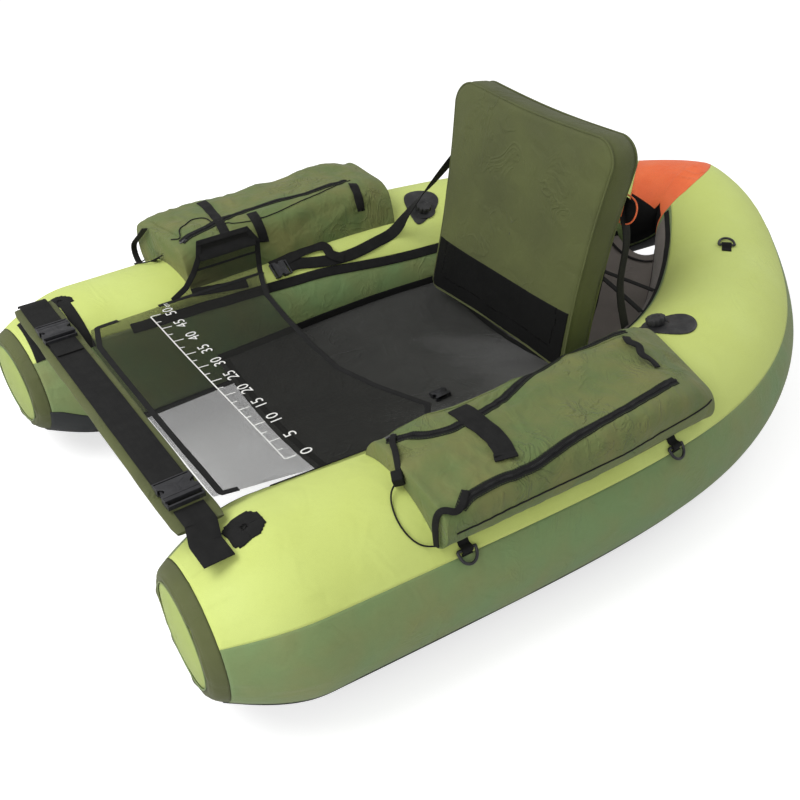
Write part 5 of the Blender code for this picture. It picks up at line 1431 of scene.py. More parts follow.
def bucklePieces(name, joint, ahead, normal, size, material):
    # The socket lies ahead of the joint and the plug behind it
    length, width, height = size
    wall, bevel = buckleLook["wall"], buckleLook["bevel"]
    ahead, normal = unit(ahead), unit(normal)
    normal = unit(normal - ahead * np.dot(normal, ahead))
    side = np.cross(normal, ahead)
    axes = (ahead, side, normal)
    joint = np.array(joint)

    def block(start, end, low, high, reach):
        centre = joint + ahead * (start + end) / 2 + side * (low + high) / 2
        return blockObject(name, (end - start, high - low, reach * 2), centre, axes, material, bevel)

    half, rise = width / 2, height / 2
    shell = length * 0.80
    waist = [(length * (0.17 + 0.36 * share), half * (1 - buckleLook["notch"] * math.sin(math.pi * share) ** 0.7))
             for share in np.linspace(0, 1, 11)]
    rim = [(0, half * 0.94), (length * 0.03, half)] + waist + [(shell - 0.002, half), (shell, half * 0.92)]
    rim += [(ahead, -side) for ahead, side in rim[::-1]]
    plates = ((rise - wall, rise), (-rise, -rise + wall))
    female = [plateObject(name, rim, low, high, joint, axes, material, bevel) for low, high in plates]
    for sign in (1, -1):
        edges = sorted((sign * half, sign * (half - wall)))
        female.append(block(0, length * 0.16, *edges, rise * 0.98))
        female.append(block(length * 0.52, shell, *edges, rise * 0.98))
        female.append(block(shell - 0.001, length, *edges, rise * 0.55))
    female.append(block(shell - wall * 1.6, shell, -half * 0.98, half * 0.98, rise * 0.9))
    female.append(block(length - wall * 1.2, length, -half, half, rise * 0.5))
    arrow = [(0.10, 0.10), (0.46, 0.10), (0.62, 0.52), (0.70, 0.52)]
    arrow += [(ahead, -aside) for ahead, aside in arrow[::-1]]
    arrow = [(length * ahead, half * aside) for ahead, aside in arrow]
    female.append(plateObject(name, arrow, rise - wall * 0.5, rise + 0.0003, joint, axes, material, 0.0002))
    body = length * (1 - buckleLook["prong"]) + wall
    fit = buckleLook["fit"]
    inside = rise - wall - fit
    male = [block(-body * 0.42 - fit, -fit, -half, half, rise),
            block(-body - fit, -body * 0.80 - fit, -half, half, rise * 0.6)]
    for sign in (1, -1):
        edges = sorted((sign * half, sign * (half - wall * 1.1)))
        male.append(block(-body - fit + 0.0005, -body * 0.38 - fit, *edges, rise * 0.6))
        prong = sorted((sign * (half - wall - fit * 2), sign * (half - wall * 2.6 - fit * 2)))
        male.append(block(-fit - 0.001, length * 0.50, *prong, inside))
    male.append(block(-fit - 0.001, length * 0.40, -half * 0.16, half * 0.16, inside))
    return joinPieces(f"{name}Socket", female), joinPieces(f"{name}Plug", male)


# Spreader bar

bar = {"y": -0.683, "left": 0.322, "right": -0.385, "width": 0.074, "height": 0.0105, "under": 0.2753,
       "webWidth": 0.050, "web": 0.0018, "buckle": (0.040, 0.056, 0.0125),
       "leftBuckle": 0.226, "rightBuckle": -0.262, "hinge": -0.398, "tabEnd": 0.396, "gap": 0.0006}
barTop = bar["under"] + bar["height"]
count = 120
xs = np.linspace(bar["right"], bar["left"], count)
sides = 36
turns = np.linspace(0, math.tau, sides, endpoint=False)
ends = np.sqrt(np.clip(np.minimum(xs - bar["right"], bar["left"] - xs) / 0.018, 0.12, 1))[:, None]
flat = np.sign(np.cos(turns)) * abs(np.cos(turns)) ** 0.45
swell = np.sign(np.sin(turns)) * abs(np.sin(turns)) ** 0.75
grid = np.empty((count, sides, 3))
grid[..., 0] = xs[:, None]
grid[..., 1] = bar["y"] + bar["width"] / 2 * flat[None, :] * (0.90 + 0.10 * ends)
grid[..., 2] = bar["under"] + bar["height"] / 2 * (1 + swell[None, :] * (0.35 + 0.65 * ends))
grid[..., 2] += 0.0009 * (cloudNoise(grid, 0.022, 15) - 0.4) * (swell > 0)[None, :]
grid[..., 1] += 0.0012 * lineNoise(xs, 0.05, 16)[:, None] - 0.0002
faces = [face[::-1] for face in hoseFaces(count, sides)]
sleeve = meshObject("barSleeve", grid.reshape(-1, 3), faces, paint["back"])
finishPiece(boxMap(sleeve), "bar", "olive_cloth", "bar_sleeve")
repaint(nodes["bar_batten"], "foam")

jointHeight = barTop + 0.0012 + bar["web"] + bar["buckle"][2] / 2
joints = {"right": (bar["rightBuckle"], bar["y"], jointHeight),
          "left": (bar["leftBuckle"] + bar["buckle"][0], bar["y"], jointHeight)}
xs = np.linspace(joints["right"][0] + 0.0005, joints["left"][0] - 0.0005, 90)
path = np.stack([xs, xs * 0 + bar["y"], xs * 0 + barTop + bar["gap"] + 0.0001], -1)
sizes = bar["webWidth"], bar["web"]
strapPiece("barWebbing", path, (0, 0, 1), *sizes, body="bar", stands=["bar_webbing"], drift=0.0007)
for side, ahead in (("right", 1.0), ("left", -1.0)):
    socket, plug = bucklePieces(f"barBuckle{side.title()}", joints[side], (ahead, 0, 0), (0, 0, 1), bar["buckle"],
            paint["plastic"])
    finishPiece(socket, "bar", "plastic", f"bar_buckle_{side}_socket")
    finishPiece(plug, f"bar_plug_{side}", "plastic", f"bar_buckle_{side}_plug")
    x = joints[side][0] + ahead * bar["buckle"][0] * 0.5
    turnsOver = np.array([(x + ahead * 0.012, 0.0072), (x + ahead * 0.020, 0.0066), (x + ahead * 0.034, 0.0040),
                          (x + ahead * 0.062, 0.0030)])
    path = np.array([(place, bar["y"], barTop + bar["gap"] + bar["web"] + rise * 0.45) for place, rise in turnsOver])
    fold = bar["webWidth"] * 0.92, bar["web"]
    strapPiece(f"barFold{side.title()}", smoothPath(path, 16), (0, 0, 1), *fold, body="bar")


def patchObject(name, outline, tree, material, lift, thickness, rings=9, perSide=8):
    # A flat patch of webbing or cloth, laid on a surface inside a plan outline
    outline = np.array(outline, float)
    closed = np.r_[outline, outline[:1]]
    steps = np.linspace(0, 1, perSide, endpoint=False)[:, None]
    loop = np.concatenate([start + (end - start) * steps for start, end in zip(closed, closed[1:])])
    middle = loop.mean(0)
    points = [(*middle, 0.45)]
    for share in np.linspace(0, 1, rings)[1:]:
        points += [(*(middle + (spot - middle) * share), 0.45) for spot in loop]
    spots = dropAll(tree, points, lift)[0]
    size = len(loop)
    faces = [[0, 1 + index, 1 + (index + 1) % size] for index in range(size)] + gridFaces(rings - 1, size, True, 1)
    item = meshObject(name, spots, faces, material, spots[:, :2].copy())
    item.data.update()
    if sum(face.normal.z for face in item.data.polygons) < 0:
        item.data.flip_normals()
    thicken(item, thickness, 1.0)
    return item


anchorPatches = {
    "Near": (0.0010, [(0.276, -0.655), (0.280, -0.636), (0.306, -0.620), (0.340, -0.614), (0.366, -0.620),
                      (0.388, -0.644), (0.392, -0.670), (0.396, -0.704), (0.380, -0.718), (0.342, -0.716),
                      (0.306, -0.719), (0.286, -0.704)]),
    "Far": (0.0008, [(-0.428, -0.684), (-0.413, -0.651), (-0.373, -0.626), (-0.345, -0.627), (-0.345, -0.712),
                     (-0.399, -0.710)]),
}
for label, (thickness, outline) in anchorPatches.items():
    patch = patchObject(f"anchorPatch{label}", outline, hullTree, paint["webbing"], 0.0001, thickness)
    finishPiece(patch, "hull", "webbing")
for label, knots in (("Front", [(-1.535, 80), (-1.538, 106), (-1.543, 132)]),
                     ("Rear", [(-1.460, 92), (-1.462, 118), (-1.463, 137)])):
    runs, angles = smoothPath(np.array(knots) * (1, 0.01), 40).T
    places, looks = skinPoint(runs, angles * 100, 0.0002), hullNormal(runs, angles * 100)
    strapPiece(f"anchorArm{label}", places, looks, 0.021, 0.0010)
start = joints["left"][0] + bar["buckle"][0] * (1 - buckleLook["prong"]) + 0.0032
xs = np.linspace(start, bar["tabEnd"], 46)
ground = dropAll(hullTree, [(x, bar["y"], 0.45) for x in xs])[0][:, 2] + 0.0014
flatTop = barTop + bar["gap"]
leave = np.clip((xs - bar["left"] - 0.002) / 0.030, 0, 1)
heights = np.maximum(ground, np.where(leave > 0, flatTop + (ground - flatTop) * leave**0.8, flatTop))
heights = np.maximum(np.convolve(np.r_[[heights[0]] * 2, heights, [heights[-1]] * 2], np.ones(5) / 5, "valid"),
                     ground)
path = np.stack([xs, bar["y"] - 0.009 * leave, heights], -1)
sizes = bar["webWidth"] * 0.90, bar["web"]
strapPiece("anchorTabLeft", path, (0.05, 0, 1), *sizes, body="bar_plug_left", stands=["anchor_tab_left"])
knots = [(joints["right"][0] - 0.0005, flatTop), (-0.300, flatTop), (-0.360, flatTop),
         (bar["right"] - 0.001, flatTop - 0.0002), (-0.3945, flatTop - 0.004),
         (bar["hinge"] - 0.0005, bar["under"] + 0.002)]
path = smoothPath([(x, bar["y"], z) for x, z in knots], 46)
looks = np.array([(0, 0, 1.0)] * 38 + [(-step / 8, 0, 1 - step / 9) for step in range(8)])
sizes = bar["webWidth"], bar["web"]
strapPiece("anchorWebbingRight", path, looks, *sizes, body="bar", stands=["anchor_webbing_right"])
print("bar made")


# Braces and the narrow buckles

brace = {
    "width": 0.025, "thickness": 0.0018, "buckleRun": 1.042, "buckleAngle": 129, "size": (0.026, 0.033, 0.0095),
    "route": ((0.762, 129), (0.800, 132), (0.850, 135), (0.900, 136), (0.950, 134), (0.985, 131)),
    "pivot": (-0.2936, -0.2106, 0.2497), "axis": (0.0527, -0.9986, 0.0021),
    "head": 0.300, "rearHead": 0.335, "rearRun": 0.560, "rearAngle": 148,
}


def braceStrap(name, path, looks, node):
    # A strap that joins two bodies, from one point of its path to another
    strap = strapObject(name, path, looks, brace["width"], brace["thickness"], paint["webbing"], drift=0.0006)
    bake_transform(strap)
    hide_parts(node)


braceNormal = hullNormal(-brace["buckleRun"], brace["buckleAngle"])
runs, angles = np.array(brace["route"]).T
route = skinPoint(-runs, angles, 0.0016)
headPoint = backPlace(-half + 0.0076, brace["head"], back["depth"] * 0.5)
pivot, axis = np.array(brace["pivot"]), unit(brace["axis"])
tail = brace["size"][0] * 0.38 + 0.004
shares = (0, 0.25, 0.5, 0.75)
ends = [pivot - axis * (tail + 0.012) - braceNormal * 0.002, pivot - axis * tail - braceNormal * 0.001]
path = [headPoint + (route[0] - headPoint) * share for share in shares] + list(route) + ends
look = np.array([-1, 0, 0.2])
routeLooks = hullNormal(-runs, angles)
looks = [look + (routeLooks[0] - look) * share for share in shares] + list(routeLooks) + [braceNormal] * 2
path, looks = smoothPath(path, 110), spreadLooks(looks, path, 110)
braceStrap("braceStrapRight", path, looks, "brace_strap_right")
socket, plug = bucklePieces("braceBuckle", pivot, axis, braceNormal, brace["size"], paint["plastic"])
finishPiece(socket, "brace_socket", "plastic", "brace_buckle_right_socket")
finishPiece(plug, "hull", "plastic", "brace_buckle_right_plug")
rearHead = backPlace(half * 0.82, brace["rearHead"], back["depth"] + back["crown"] * 0.88 + 0.0012)
foot = hullPoint(brace["rearRun"], brace["rearAngle"], 0.0015 + brace["width"] * 0.22)
sway = np.array([brace["width"] * 0.45, brace["width"] * 0.25, 0])
fall = foot - rearHead
path = smoothPath([rearHead, rearHead + fall * 0.3 + sway, rearHead + fall * 0.65 - sway * 0.3, foot], 60)
braceStrap("braceStrapLeft", path, (0.95, 0.25, 0.2), "brace_strap_left")
place, normal = dropOnto(seatTree, (0.081, -0.094, 0.3), (0, 0, -1), 0.2, brace["size"][2] / 2 + 0.0006)
ahead = unit(np.cross(normal, (0, 1, 0)))
loose, spare = bucklePieces("looseSocket", place - ahead * brace["size"][0] / 2, ahead, normal, brace["size"],
        paint["plastic"])
bpy.data.objects.remove(spare)
finishPiece(loose, "hull", "plastic", "loose_socket_left")
print("braces made")


# D-rings in their loops of webbing

rings = {"radius": 0.0148, "wire": 0.0024, "depth": 1.45, "tilt": 0.03, "tabLength": 0.005, "tabWidth": 0.018,
         "tab": 0.0018, "clear": 0.0008, "gap": 0.0006}
ringPlaces = (("left_front", 1.200, 36, 0, -1), ("left_rear", 0.803, 36, 0, -1), ("right_front", -1.200, 36, 0, -1),
              ("right_rear", -0.803, 36, 0, -1), ("stern", 0.285, 92, -1, 0))
for name, run, angle, runStep, angleStep in ringPlaces:
    turnPerLength = math.degrees(1 / float(hullFrame(run)[2]))
    label = name.title().replace("_", "")
    normal = hullNormal(run, angle)

    def ringPlace(distance, rise):
        return hullPoint(run + runStep * distance, angle + angleStep * distance * turnPerLength, rise)

    down = ringPlace(rings["tabWidth"], 0) - ringPlace(0, 0)
    down = unit(down - normal * np.dot(down, normal))
    along = np.cross(down, normal)
    reach = rings["wire"] + rings["clear"]
    barPlace = ringPlace(0, rings["gap"]) + normal * reach
    size, depth = rings["radius"], rings["radius"] * rings["depth"]
    loop = [barPlace - along * size * share for share in (1, 0.5, 0, -0.5, -1)]
    for turn in range(15, 180, 15):
        swell = math.sin(math.radians(turn))
        loop.append(barPlace + along * size * math.cos(math.radians(turn)) + down * depth * swell**0.8
                    + normal * rings["tilt"] * depth * swell)
    loop = smoothPath(loop + [loop[0]], 73)[:-1]
    ring = tubeObject(f"ring{label}", loop, rings["wire"], paint["plastic"], 12, True)
    finishPiece(ring, f"ring_{name}", "plastic", f"d_ring_{name}")
    path, looks = [], []
    radius = reach + rings["tab"] / 2
    for share in (2.4, 1.4, 0.6):
        path.append(ringPlace(-radius * 1.3 - rings["tabLength"] * share, rings["gap"]))
        looks.append(normal)
    for turn in (25, 60, 90, 120, 155):
        bearing = math.radians(turn)
        look = -down * math.cos(bearing) + normal * math.sin(bearing)
        path.append(barPlace + look * (radius - rings["tab"] / 2))
        looks.append(look)
    for share in (0.2, 0.9):
        path.append(ringPlace(radius * 1.3 + rings["tabLength"] * share, rings["gap"]))
        looks.append(normal)
    path, looks = smoothPath(path, 40), spreadLooks(looks, path, 40)
    strapPiece(f"ringTab{label}", path, looks, rings["tabWidth"], rings["tab"], stands=[f"ring_tab_{name}"])
print("rings made")


# Inflation valves: teardrop patches, necks and ribbed caps

valve = {"angle": 114, "patch": 0.056, "patchReach": 0.059, "patchWidth": 0.074, "flange": 0.0016, "neck": 0.0125,
         "bore": 0.0085, "height": 0.014, "cap": 0.0175, "capHeight": 0.013, "rib": 0.0014, "ribs": 12,
         "retainer": 0.0032, "retainerHeight": 0.0022, "clear": 0.0004}
for side, place in valves.items():
    seat, axis, run = np.array(place["seat"]), unit(place["axis"]), place["run"]
    label = side.title()
    turns = np.linspace(0, math.tau, 56, endpoint=False)
    ahead = valve["patchReach"] * np.cos(turns)
    wide = valve["patchWidth"] / 2 * np.sin(turns) * (1 - 0.42 * np.cos(turns))
    outline = np.stack([run + np.sign(run) * (ahead * 0.53 + wide * 0.85),
                        valve["angle"] - 5 + degreesFor(1) * (ahead * 0.85 - wide * 0.53)], -1)
    middle = np.array([run, valve["angle"]])
    points = []
    for share in np.linspace(0.30, 1, 12):
        spots = middle + (outline - middle) * share
        points.append(skinPoint(spots[:, 0], spots[:, 1], 0.0010))
    patch = gridObject(f"valvePatch{label}", np.array(points), paint["rubber"], 0.0009, closed=True)
    if np.dot(patch.data.polygons[0].normal, axis) < 0:
        patch.data.flip_normals()
    patch.modifiers[0].offset = 1.0
    finishPiece(patch, "hull", "valve_rubber")
    keys = ("neck", "retainerHeight", "clear", "bore", "height", "flange", "cap", "rib")
    neck, ridge, clear, bore, height, flange, cap, rib = (valve[key] for key in keys)

    def valvePart(kind, profile, body, node, *shape):
        part = turnedObject(f"valve{kind}{label}", profile, seat, axis, paint["rubber"], *shape)
        finishPiece(part, body, "valve_rubber", node)

    rim, plateTop = valve["patch"] / 2, clear + flange
    profile = [
        (bore, -0.012), (neck, -0.012), (neck, clear), (rim, clear + 0.0004), (rim - 0.001, plateTop),
        (neck + ridge * 1.6, plateTop + 0.0004), (neck + 0.0004, plateTop + ridge), (neck, height),
        (bore + 0.0006, height + 0.0002), (bore, height - 0.0006),
    ]
    valvePart("Base", profile, "hull", f"valve_base_{side}", 48)
    inner, low = neck + clear, plateTop + ridge + clear
    outer = inner + valve["retainer"]
    profile = [(inner, low), (outer, low), (outer, low + ridge * 0.8), (inner + valve["retainer"] * 0.8, low + ridge),
               (inner, low + ridge)]
    valvePart("Retainer", profile, f"valve_ring_{side}", f"valve_retainer_{side}", 48)
    skirt = low + ridge + clear
    roof, wall = height + clear * 2, inner + clear

    def ribbed(bearings, index):
        return -rib / cap * np.clip(np.cos(bearings * valve["ribs"]) * 1.6, -0.4, 1) * (2 <= index <= 5)

    top = skirt + (valve["capHeight"] - (skirt - clear) * 0.5)
    profile = [
        (0, roof), (wall, roof), (wall, skirt), (cap, skirt), (cap, skirt + 0.001), (cap, top - rib),
        (cap - rib * 0.6, top - rib * 0.3), (cap - rib * 1.4, top), (cap * 0.5, top + 0.0002),
        (cap * 0.45, top - 0.0008), (0, top - 0.0008),
    ]
    valvePart("Cap", profile, f"valve_lid_{side}", f"valve_cap_{side}", 144, 45, ribbed)
print("valves made")


# Elastic loops, and zip sliders with their pulls

loopRoute = ((1.2394, 82, 0.016), (1.2560, 80, 0.010), (1.2740, 68, 0.0028), (1.2740, 56, 0.0028),
             (1.2600, 47, 0.0034), (1.2394, 43.5, 0.009))
for side, sign in (("left", 1), ("right", -1)):
    path = smoothPath([hullPoint(sign * run, angle, lift) for run, angle, lift in loopRoute], 60)
    loop = tubeObject(f"bagLoop{side.title()}", path, 0.0013, paint["elastic"], 10)
    finishPiece(loop, "hull", "webbing", f"bag_loop_{side}")

sliders = lookTable("centre along normal pull", {
    "left_inner": ((0.3465, -0.3859, 0.312), (0.0509, 0.9723, 0.2282), (-0.3204, -0.2005, 0.9258), 0.020),
    "left_outer": ((0.5148, -0.3956, 0.2973), (0.0856, 0.9725, 0.2168), (0.4011, -0.2328, 0.8859), 0.024),
    "right_inner": ((-0.3555, -0.3869, 0.3376), (-0.0527, 0.9338, 0.3539), (0.0388, -0.3522, 0.9351), 0.018),
})
for name, look in sliders.items():
    centre, along, normal = np.array(look["centre"]), unit(look["along"]), unit(look["normal"])
    axes, reach = (along, np.cross(normal, along), normal), along * look["pull"]
    # A plate, crown, bridge and pull, each by its size, its share of the reach, its rise and its bevel
    blocks = [
        ((0.014, 0.009, 0.0016), 0, -0.0018, 0.0006), ((0.011, 0.0066, 0.0018), 0, 0.0004, 0.0007),
        ((0.008, 0.0022, 0.0018), 0, 0.0021, 0.0007), ((look["pull"] * 0.45, 0.0050, 0.0010), -0.30, 0.0024, 0.0004),
    ]
    parts = [blockObject("slider", size, centre + reach * share + normal * rise, axes, paint["zipMetal"], bevel)
             for size, share, rise, bevel in blocks]
    label = "".join(part.title() for part in name.split("_"))
    slider = joinPieces(f"zipSlider{label}", parts)
    finishPiece(slider, f"slider_{name}", "zip_metal", f"zip_slider_{name}")
print("loops and sliders made")


# Rear pocket

pocket = {"height": 0.205, "width": 0.384, "foot": 0.022, "bulge": 0.030, "thickness": 0.0012}
heights = np.linspace(pocket["foot"], pocket["foot"] + pocket["height"], 50)[:, None]
across = np.linspace(-1, 1, 70)[None, :]
climb = (heights - pocket["foot"]) / pocket["height"]
bulge = pocket["bulge"] * (1 - abs(across)**9) * np.sin(math.pi * (0.12 + 0.66 * climb)) ** 0.7
depth = back["depth"] + back["crown"] * 0.22 + 0.0010 + bulge + 0.0010 * lineNoise(across * 0.2 + heights, 0.02, 41)
pocketGrid = backPlace(across * pocket["width"] / 2, heights, depth)
uv = np.stack(np.broadcast_arrays(across * pocket["width"] / 2, heights), -1)
pocketItem = gridObject("rearPocket", pocketGrid, paint["pocketMesh"], pocket["thickness"], uv=uv, lookAt=(0, 1, 0))
finishPiece(pocketItem, "backrest", "mesh", "rear_pocket")
for label, edge in (("Top", pocketGrid[-2, :]), ("Foot", pocketGrid[1, :]), ("Left", pocketGrid[:, 1]),
                    ("Right", pocketGrid[:, -2])):
    strapPiece(f"pocketHem{label}", edge + backRear * 0.0003, backRear, 0.012, 0.0010, "tape", "backrest")
for name in ("air_bladder_left", "air_bladder_right"):
    repaint(nodes[name], "bladder")
tab = [backPlace(x, rise, 0.086) for x, rise in ((0.172, 0.334), (0.214, 0.325), (0.213, 0.293), (0.190, 0.280))]
tabGrid = np.array([[tab[0], tab[1]], [tab[3], tab[2]]])
flapSheet = gridObject("pocketFlap", tabGrid, paint["black"], 0.0010, lookAt=(0, -1, 0))
edge = smoothPath([tab[0], tab[1], tab[2], tab[3]], 40)
piping = tubeObject("pocketFlapPiping", edge, 0.0016, paint["orange"], 8)
valveTab = blockObject("bladderTab", (0.019, 0.004, 0.036), backPlace(0.188, 0.304, 0.072),
                       (np.array((1.0, 0, 0)), backRear, backUp), paint["orange"], 0.0015)
for item in (flapSheet, piping, valveTab):
    finishPiece(item, "backrest", "orange_cloth")
print("pocket made")


# Bands along the hull's inner edges, where the covers' zips and the apron's touch tape lie

bands = [
    ("innerBandLeft", 1, [(0.088, 150), (0.131, 149), (0.208, 147), (0.280, 148.5), (0.45, 149), (0.62, 149)], 0.013),
    ("innerBandRight", -1, [(0.16, 148), (0.45, 149), (0.63, 150)], 0.013),
    ("seamBandRight", -1, [(0.640, 151), (0.762, 150.5), (0.905, 145), (0.958, 142.5), (1.015, 141), (1.101, 139),
                           (1.24, 136), (1.38, 134)], 0.020),
    ("touchStripRight", -1, [(1.128, 130), (1.175, 127), (1.240, 122.5)], 0.019),
    ("seamBandLeft", 1, [(0.80, 145), (1.00, 142), (1.10, 139), (1.38, 134)], 0.020),
]
for name, sign, knots, width in bands:
    knots = smoothPath([(run, angle * 0.01) for run, angle in knots], 150)
    runs, angles = sign * knots[:, 0], knots[:, 1] * 100
    looks = hullNormal(runs, angles)
    strapPiece(name, skinPoint(runs, angles, 0.0002), looks, width, 0.0012, "tape", drift=0.0010)
    rows = []
    for shift in (-0.40, 0.40):
        spots = skinPoint(runs, angles + degreesFor(width * shift), 0.0016)
        rows.append((spots, looks))
    stitchRow(f"{name}Stitches", rows, "thread", "webbing")
# Each wall's low edge is an angle known at runs, and its high edge is one angle
walls = (
    ("cargoWallLeft", "cargoMesh", (0.10, 0.60), ((0,), (151.0,)), 187.0),
    ("cargoWallRight", "cargoMesh", (-0.60, -0.17), ((0,), (151.0,)), 187.0),
    # The stern's black sheet is painted shade. It darkens the stern's inner wall where that wall lies in shadow
    ("sternLining", "black", (-0.128, 0.072), ((-0.129, -0.087, -0.037, 0.074), (136, 150, 166, 161)), 208.0),
)
for name, key, ends, lowEdge, high in walls:
    run, spread = np.meshgrid(np.linspace(*ends, 90), np.linspace(0, 1, 30), indexing="ij")
    low = np.interp(run, *lowEdge)
    angle = low + (high - low) * spread
    uv = np.stack([run, np.radians(angle) * hull["halfWidth"]], -1)
    look = (0, 0, -1) if key == "black" else None
    lining = gridObject(name, skinPoint(run, angle, 0.0012), paint[key], 0.0006, uv=uv, lookAt=look)
    finishPiece(lining, "hull", "mesh")
print("bands made")


# Straps, handles and seams on the bags

def bagStrap(name, side, width, thickness, key, spots, lift=0.0006, count=40, sag=0.0):
    points, normals = onBag(side, spots, count, lift)
    points = points + normals * (sag * np.sin(np.linspace(0, math.pi, count)) ** 0.7)[:, None]
    strapPiece(name, points, normals, width, thickness, key, curl=-0.0003, drift=0.0005)


handle = [(.193, .667), (.200, .581), (.188, .519), (.197, .437), (.184, .378), (.169, .282)]
bagStraps = [
    ("nearStrap", "left", 0.034, 0.0020, "webbing",
     [(.770, .760), (.760, .560), (.747, .387), (.747, .240), (.755, .120)], 0.0022, 50),
    ("nearStrapEnd", "left", 0.0345, 0.0026, "tape", [(.7555, .155), (.7565, .120), (.7575, .105)], 0.0030, 12),
    ("nearHandle", "left", 0.013, 0.0034, "tape", handle, 0.0010, 70, 0.007),
    ("farStrapFront", "right", 0.021, 0.0018, "webbing",
     [(.633, .690), (.640, .780), (.646, .902), (.648, .960), (.660, .988)]),
    ("farStrapRear", "right", 0.019, 0.0018, "webbing",
     [(.150, .740), (.160, .860), (.161, .930), (.157, .970), (.154, .995)]),
    ("farTie", "right", 0.020, 0.0016, "webbing",
     [(.725, .060), (.735, .208), (.760, .492), (.786, .779), (.800, .900)]),
]
for row in bagStraps:
    bagStrap(*row)
seams = {
    "nearLid": ("left", [(.985, .600), (.960, .835), (.800, .850), (.468, .855), (.181, .722)], 0.0010, "bag"),
    "farLid": ("right", [(.760, .690), (.732, .740), (.631, .817), (.478, .786), (.311, .735), (.134, .621)], 0.0013,
               "tape"),
    "farPanel": ("right", [(.985, .640), (.962, .694), (.930, .560), (.898, .503), (.839, .417), (.804, .464),
                           (.800, .600), (.809, .700)], 0.0015, "tape"),
    "farFront": ("right", [(.965, .120), (.960, .300), (.955, .520), (.950, .700)], 0.0011, "bag"),
}
for name, (side, spots, radius, key) in seams.items():
    points, normals = onBag(side, spots, 110, radius * 0.2)
    finishPiece(tubeObject(name, points, radius, paint[key], 8), "hull", "bag_cloth")
    beside = np.cross(unit(np.gradient(points, axis=0)), normals) * 0.0032
    stitchRow(f"{name}Stitches", [(points + beside + normals * 0.0003, normals)], "oliveThread", "bag_cloth")

for side, bag in bags.items():
    # The seam along each bag's outer side
    share = np.linspace(0.03, 0.97, 110)
    runs = bagFoot(bag, share, 0.0)
    _, outward, _, _ = hullFrame(runs)
    outward = np.concatenate([outward, outward[:, :1] * 0], 1)
    rise = bag["height"] * (0.88 - 0.26 * share)
    spots = hullPoint(runs, bagLook["outer"], 0.002) + np.array((0, 0, 1)) * rise[:, None]
    points = [dropOnto(bagTrees[side], spot + aside * 0.02, -aside, 0.04, 0.0004)[0]
              for spot, aside in zip(spots, outward)]
    seam = tubeObject(f"bagOuterSeam{side.title()}", np.array(points), 0.0014, paint["tape"], 8)
    finishPiece(seam, "hull", "bag_cloth")



# Pull tabs of the near bag's zips, the toggle on its elastic loop, and the far bag's grip

toggle = {"size": (0.019, 0.018, 0.017), "run": 1.2394, "inner": (82, 0.016), "outer": (43.5, 0.009)}
loopTop, loopFoot = (hullPoint(toggle["run"], *toggle[key]) for key in ("inner", "outer"))
pulls = (
    ("pullInner", [(.955, .790), (.972, .720), (.984, .650)], loopTop + (0, -0.003, 0.006), 0.0095),
    ("pullOuter", [(.960, -.058), (.972, -.045), (.984, -.030)], loopFoot + (0, -0.004, 0.002), 0.0100),
)
for name, spots, last, width in pulls:
    points, normals = onBag("left", spots, 0, 0.0035)
    knots = np.vstack([points, last])
    looks = spreadLooks(np.vstack([normals, (0.1, -0.95, 0.4)]), knots, 34)
    strapPiece(name, smoothPath(knots, 34), looks, width, 0.0026)
first = unit((0.15, -0.35, 0.93))
second = unit(np.cross(first, (0.5, 1.0, 0.0)))
block = blockObject("bagToggle", toggle["size"], loopTop + (0, -0.006, 0.002),
                    (first, second, np.cross(first, second)), paint["webbing"], 0.003)
finishPiece(block, "hull", "webbing")
grip = [(-0.462, -0.4240, 0.3300), (-0.5123, -0.4268, 0.2875), (-0.534, -0.4288, 0.2584), (-0.5203, -0.4300, 0.2400),
        (-0.4638, -0.4270, 0.2572), (-0.420, -0.4240, 0.2850)]
grip = smoothPath(grip, 70)
spokes = grip - np.array((-0.48, -0.43, 0.285))
strapPiece("farGrip", grip, unit(spokes), 0.012, 0.0030)
tail = smoothPath([(1.065, 1.240), (1.032, 1.232), (0.987, 1.212), (0.942, 1.215), (0.928, 1.300), (0.903, 1.370)],
                  60)
runs, angles = -tail[:, 0], tail[:, 1] * 100
strapPiece("braceTail", skinPoint(runs, angles, 0.0045), hullNormal(runs, angles), 0.022, 0.0018, drift=0.0015)
print("bag straps made")


# Studio: a white floor, an even background and a soft key from the upper left

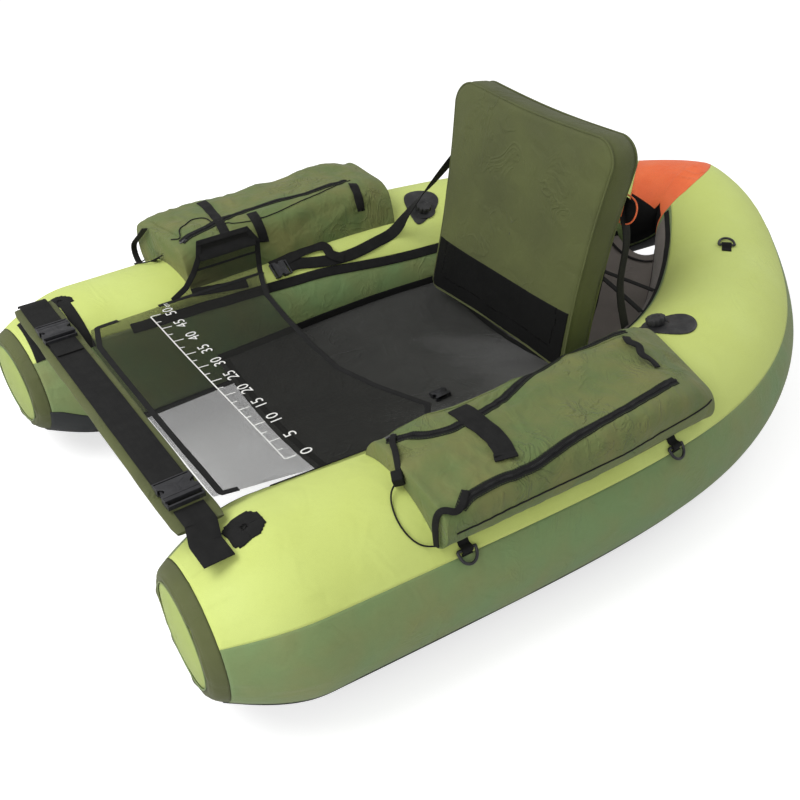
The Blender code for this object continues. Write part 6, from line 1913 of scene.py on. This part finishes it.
studio = {
    "floor": 14.0, "floorTone": (214, 214, 214), "floorGlow": 0.62, "backdrop": (255, 255, 255), "world": 0.50,
    "key": {"place": (-0.6, -2.0, 2.7), "size": 2.4, "power": 66},
    "fill": {"place": (1.7, -2.6, 1.1), "size": 2.2, "power": 27},
    "rim": {"place": (0.4, 2.6, 2.0), "size": 2.4, "power": 18},
}


def makeStudio(look):
    half = look["floor"] / 2
    floorMesh = bpy.data.meshes.new("floor")
    floorMesh.from_pydata([(-half, -half, 0), (half, -half, 0), (half, half, 0), (-half, half, 0)], [],
                          [(0, 1, 2, 3)])
    floor = newObject("floor", floorMesh)
    material = bpy.data.materials.new("floorPaper")
    material.use_nodes = True
    tree = material.node_tree
    tree.nodes.clear()
    seen = addNode(tree, "ShaderNodeLightPath")["Is Camera Ray"]
    paper = addNode(tree, "ShaderNodeBsdfDiffuse", {"Color": linear(look["floorTone"])})[0]
    links = {"Color": (1, 1, 1, 1), "Strength": calc(tree, "MULTIPLY", seen, look["floorGlow"])}
    both = addNode(tree, "ShaderNodeAddShader", {0: paper, 1: addNode(tree, "ShaderNodeEmission", links)[0]})[0]
    addNode(tree, "ShaderNodeOutputMaterial", {"Surface": both})
    floorMesh.materials.append(material)
    for name in ("key", "fill", "rim"):
        light = look[name]
        data = bpy.data.lights.new(name, "AREA")
        data.shape = "DISK"
        data.size = light["size"]
        data.energy = light["power"]
        item = newObject(name, data)
        item.location = light["place"]
        item.rotation_euler = (Vector((0, 0, 0.1)) - Vector(light["place"])).to_track_quat("-Z", "Y").to_euler()
    world = bpy.data.worlds.new("studio")
    bpy.context.scene.world = world
    world.use_nodes = True
    tree = world.node_tree
    tree.nodes.clear()
    rays = addNode(tree, "ShaderNodeLightPath")
    seen = calc(tree, "MAXIMUM", rays["Is Camera Ray"], rays["Is Transmission Ray"])
    links = {"Color": linear(look["backdrop"]), "Strength": remap(tree, seen, 0.0, 1.0, look["world"], 1.0)}
    addNode(tree, "ShaderNodeOutputWorld", {"Surface": addNode(tree, "ShaderNodeBackground", links)[0]})


makeStudio(studio)
bpy.context.scene.view_settings.view_transform = "Standard"
print("studio made")
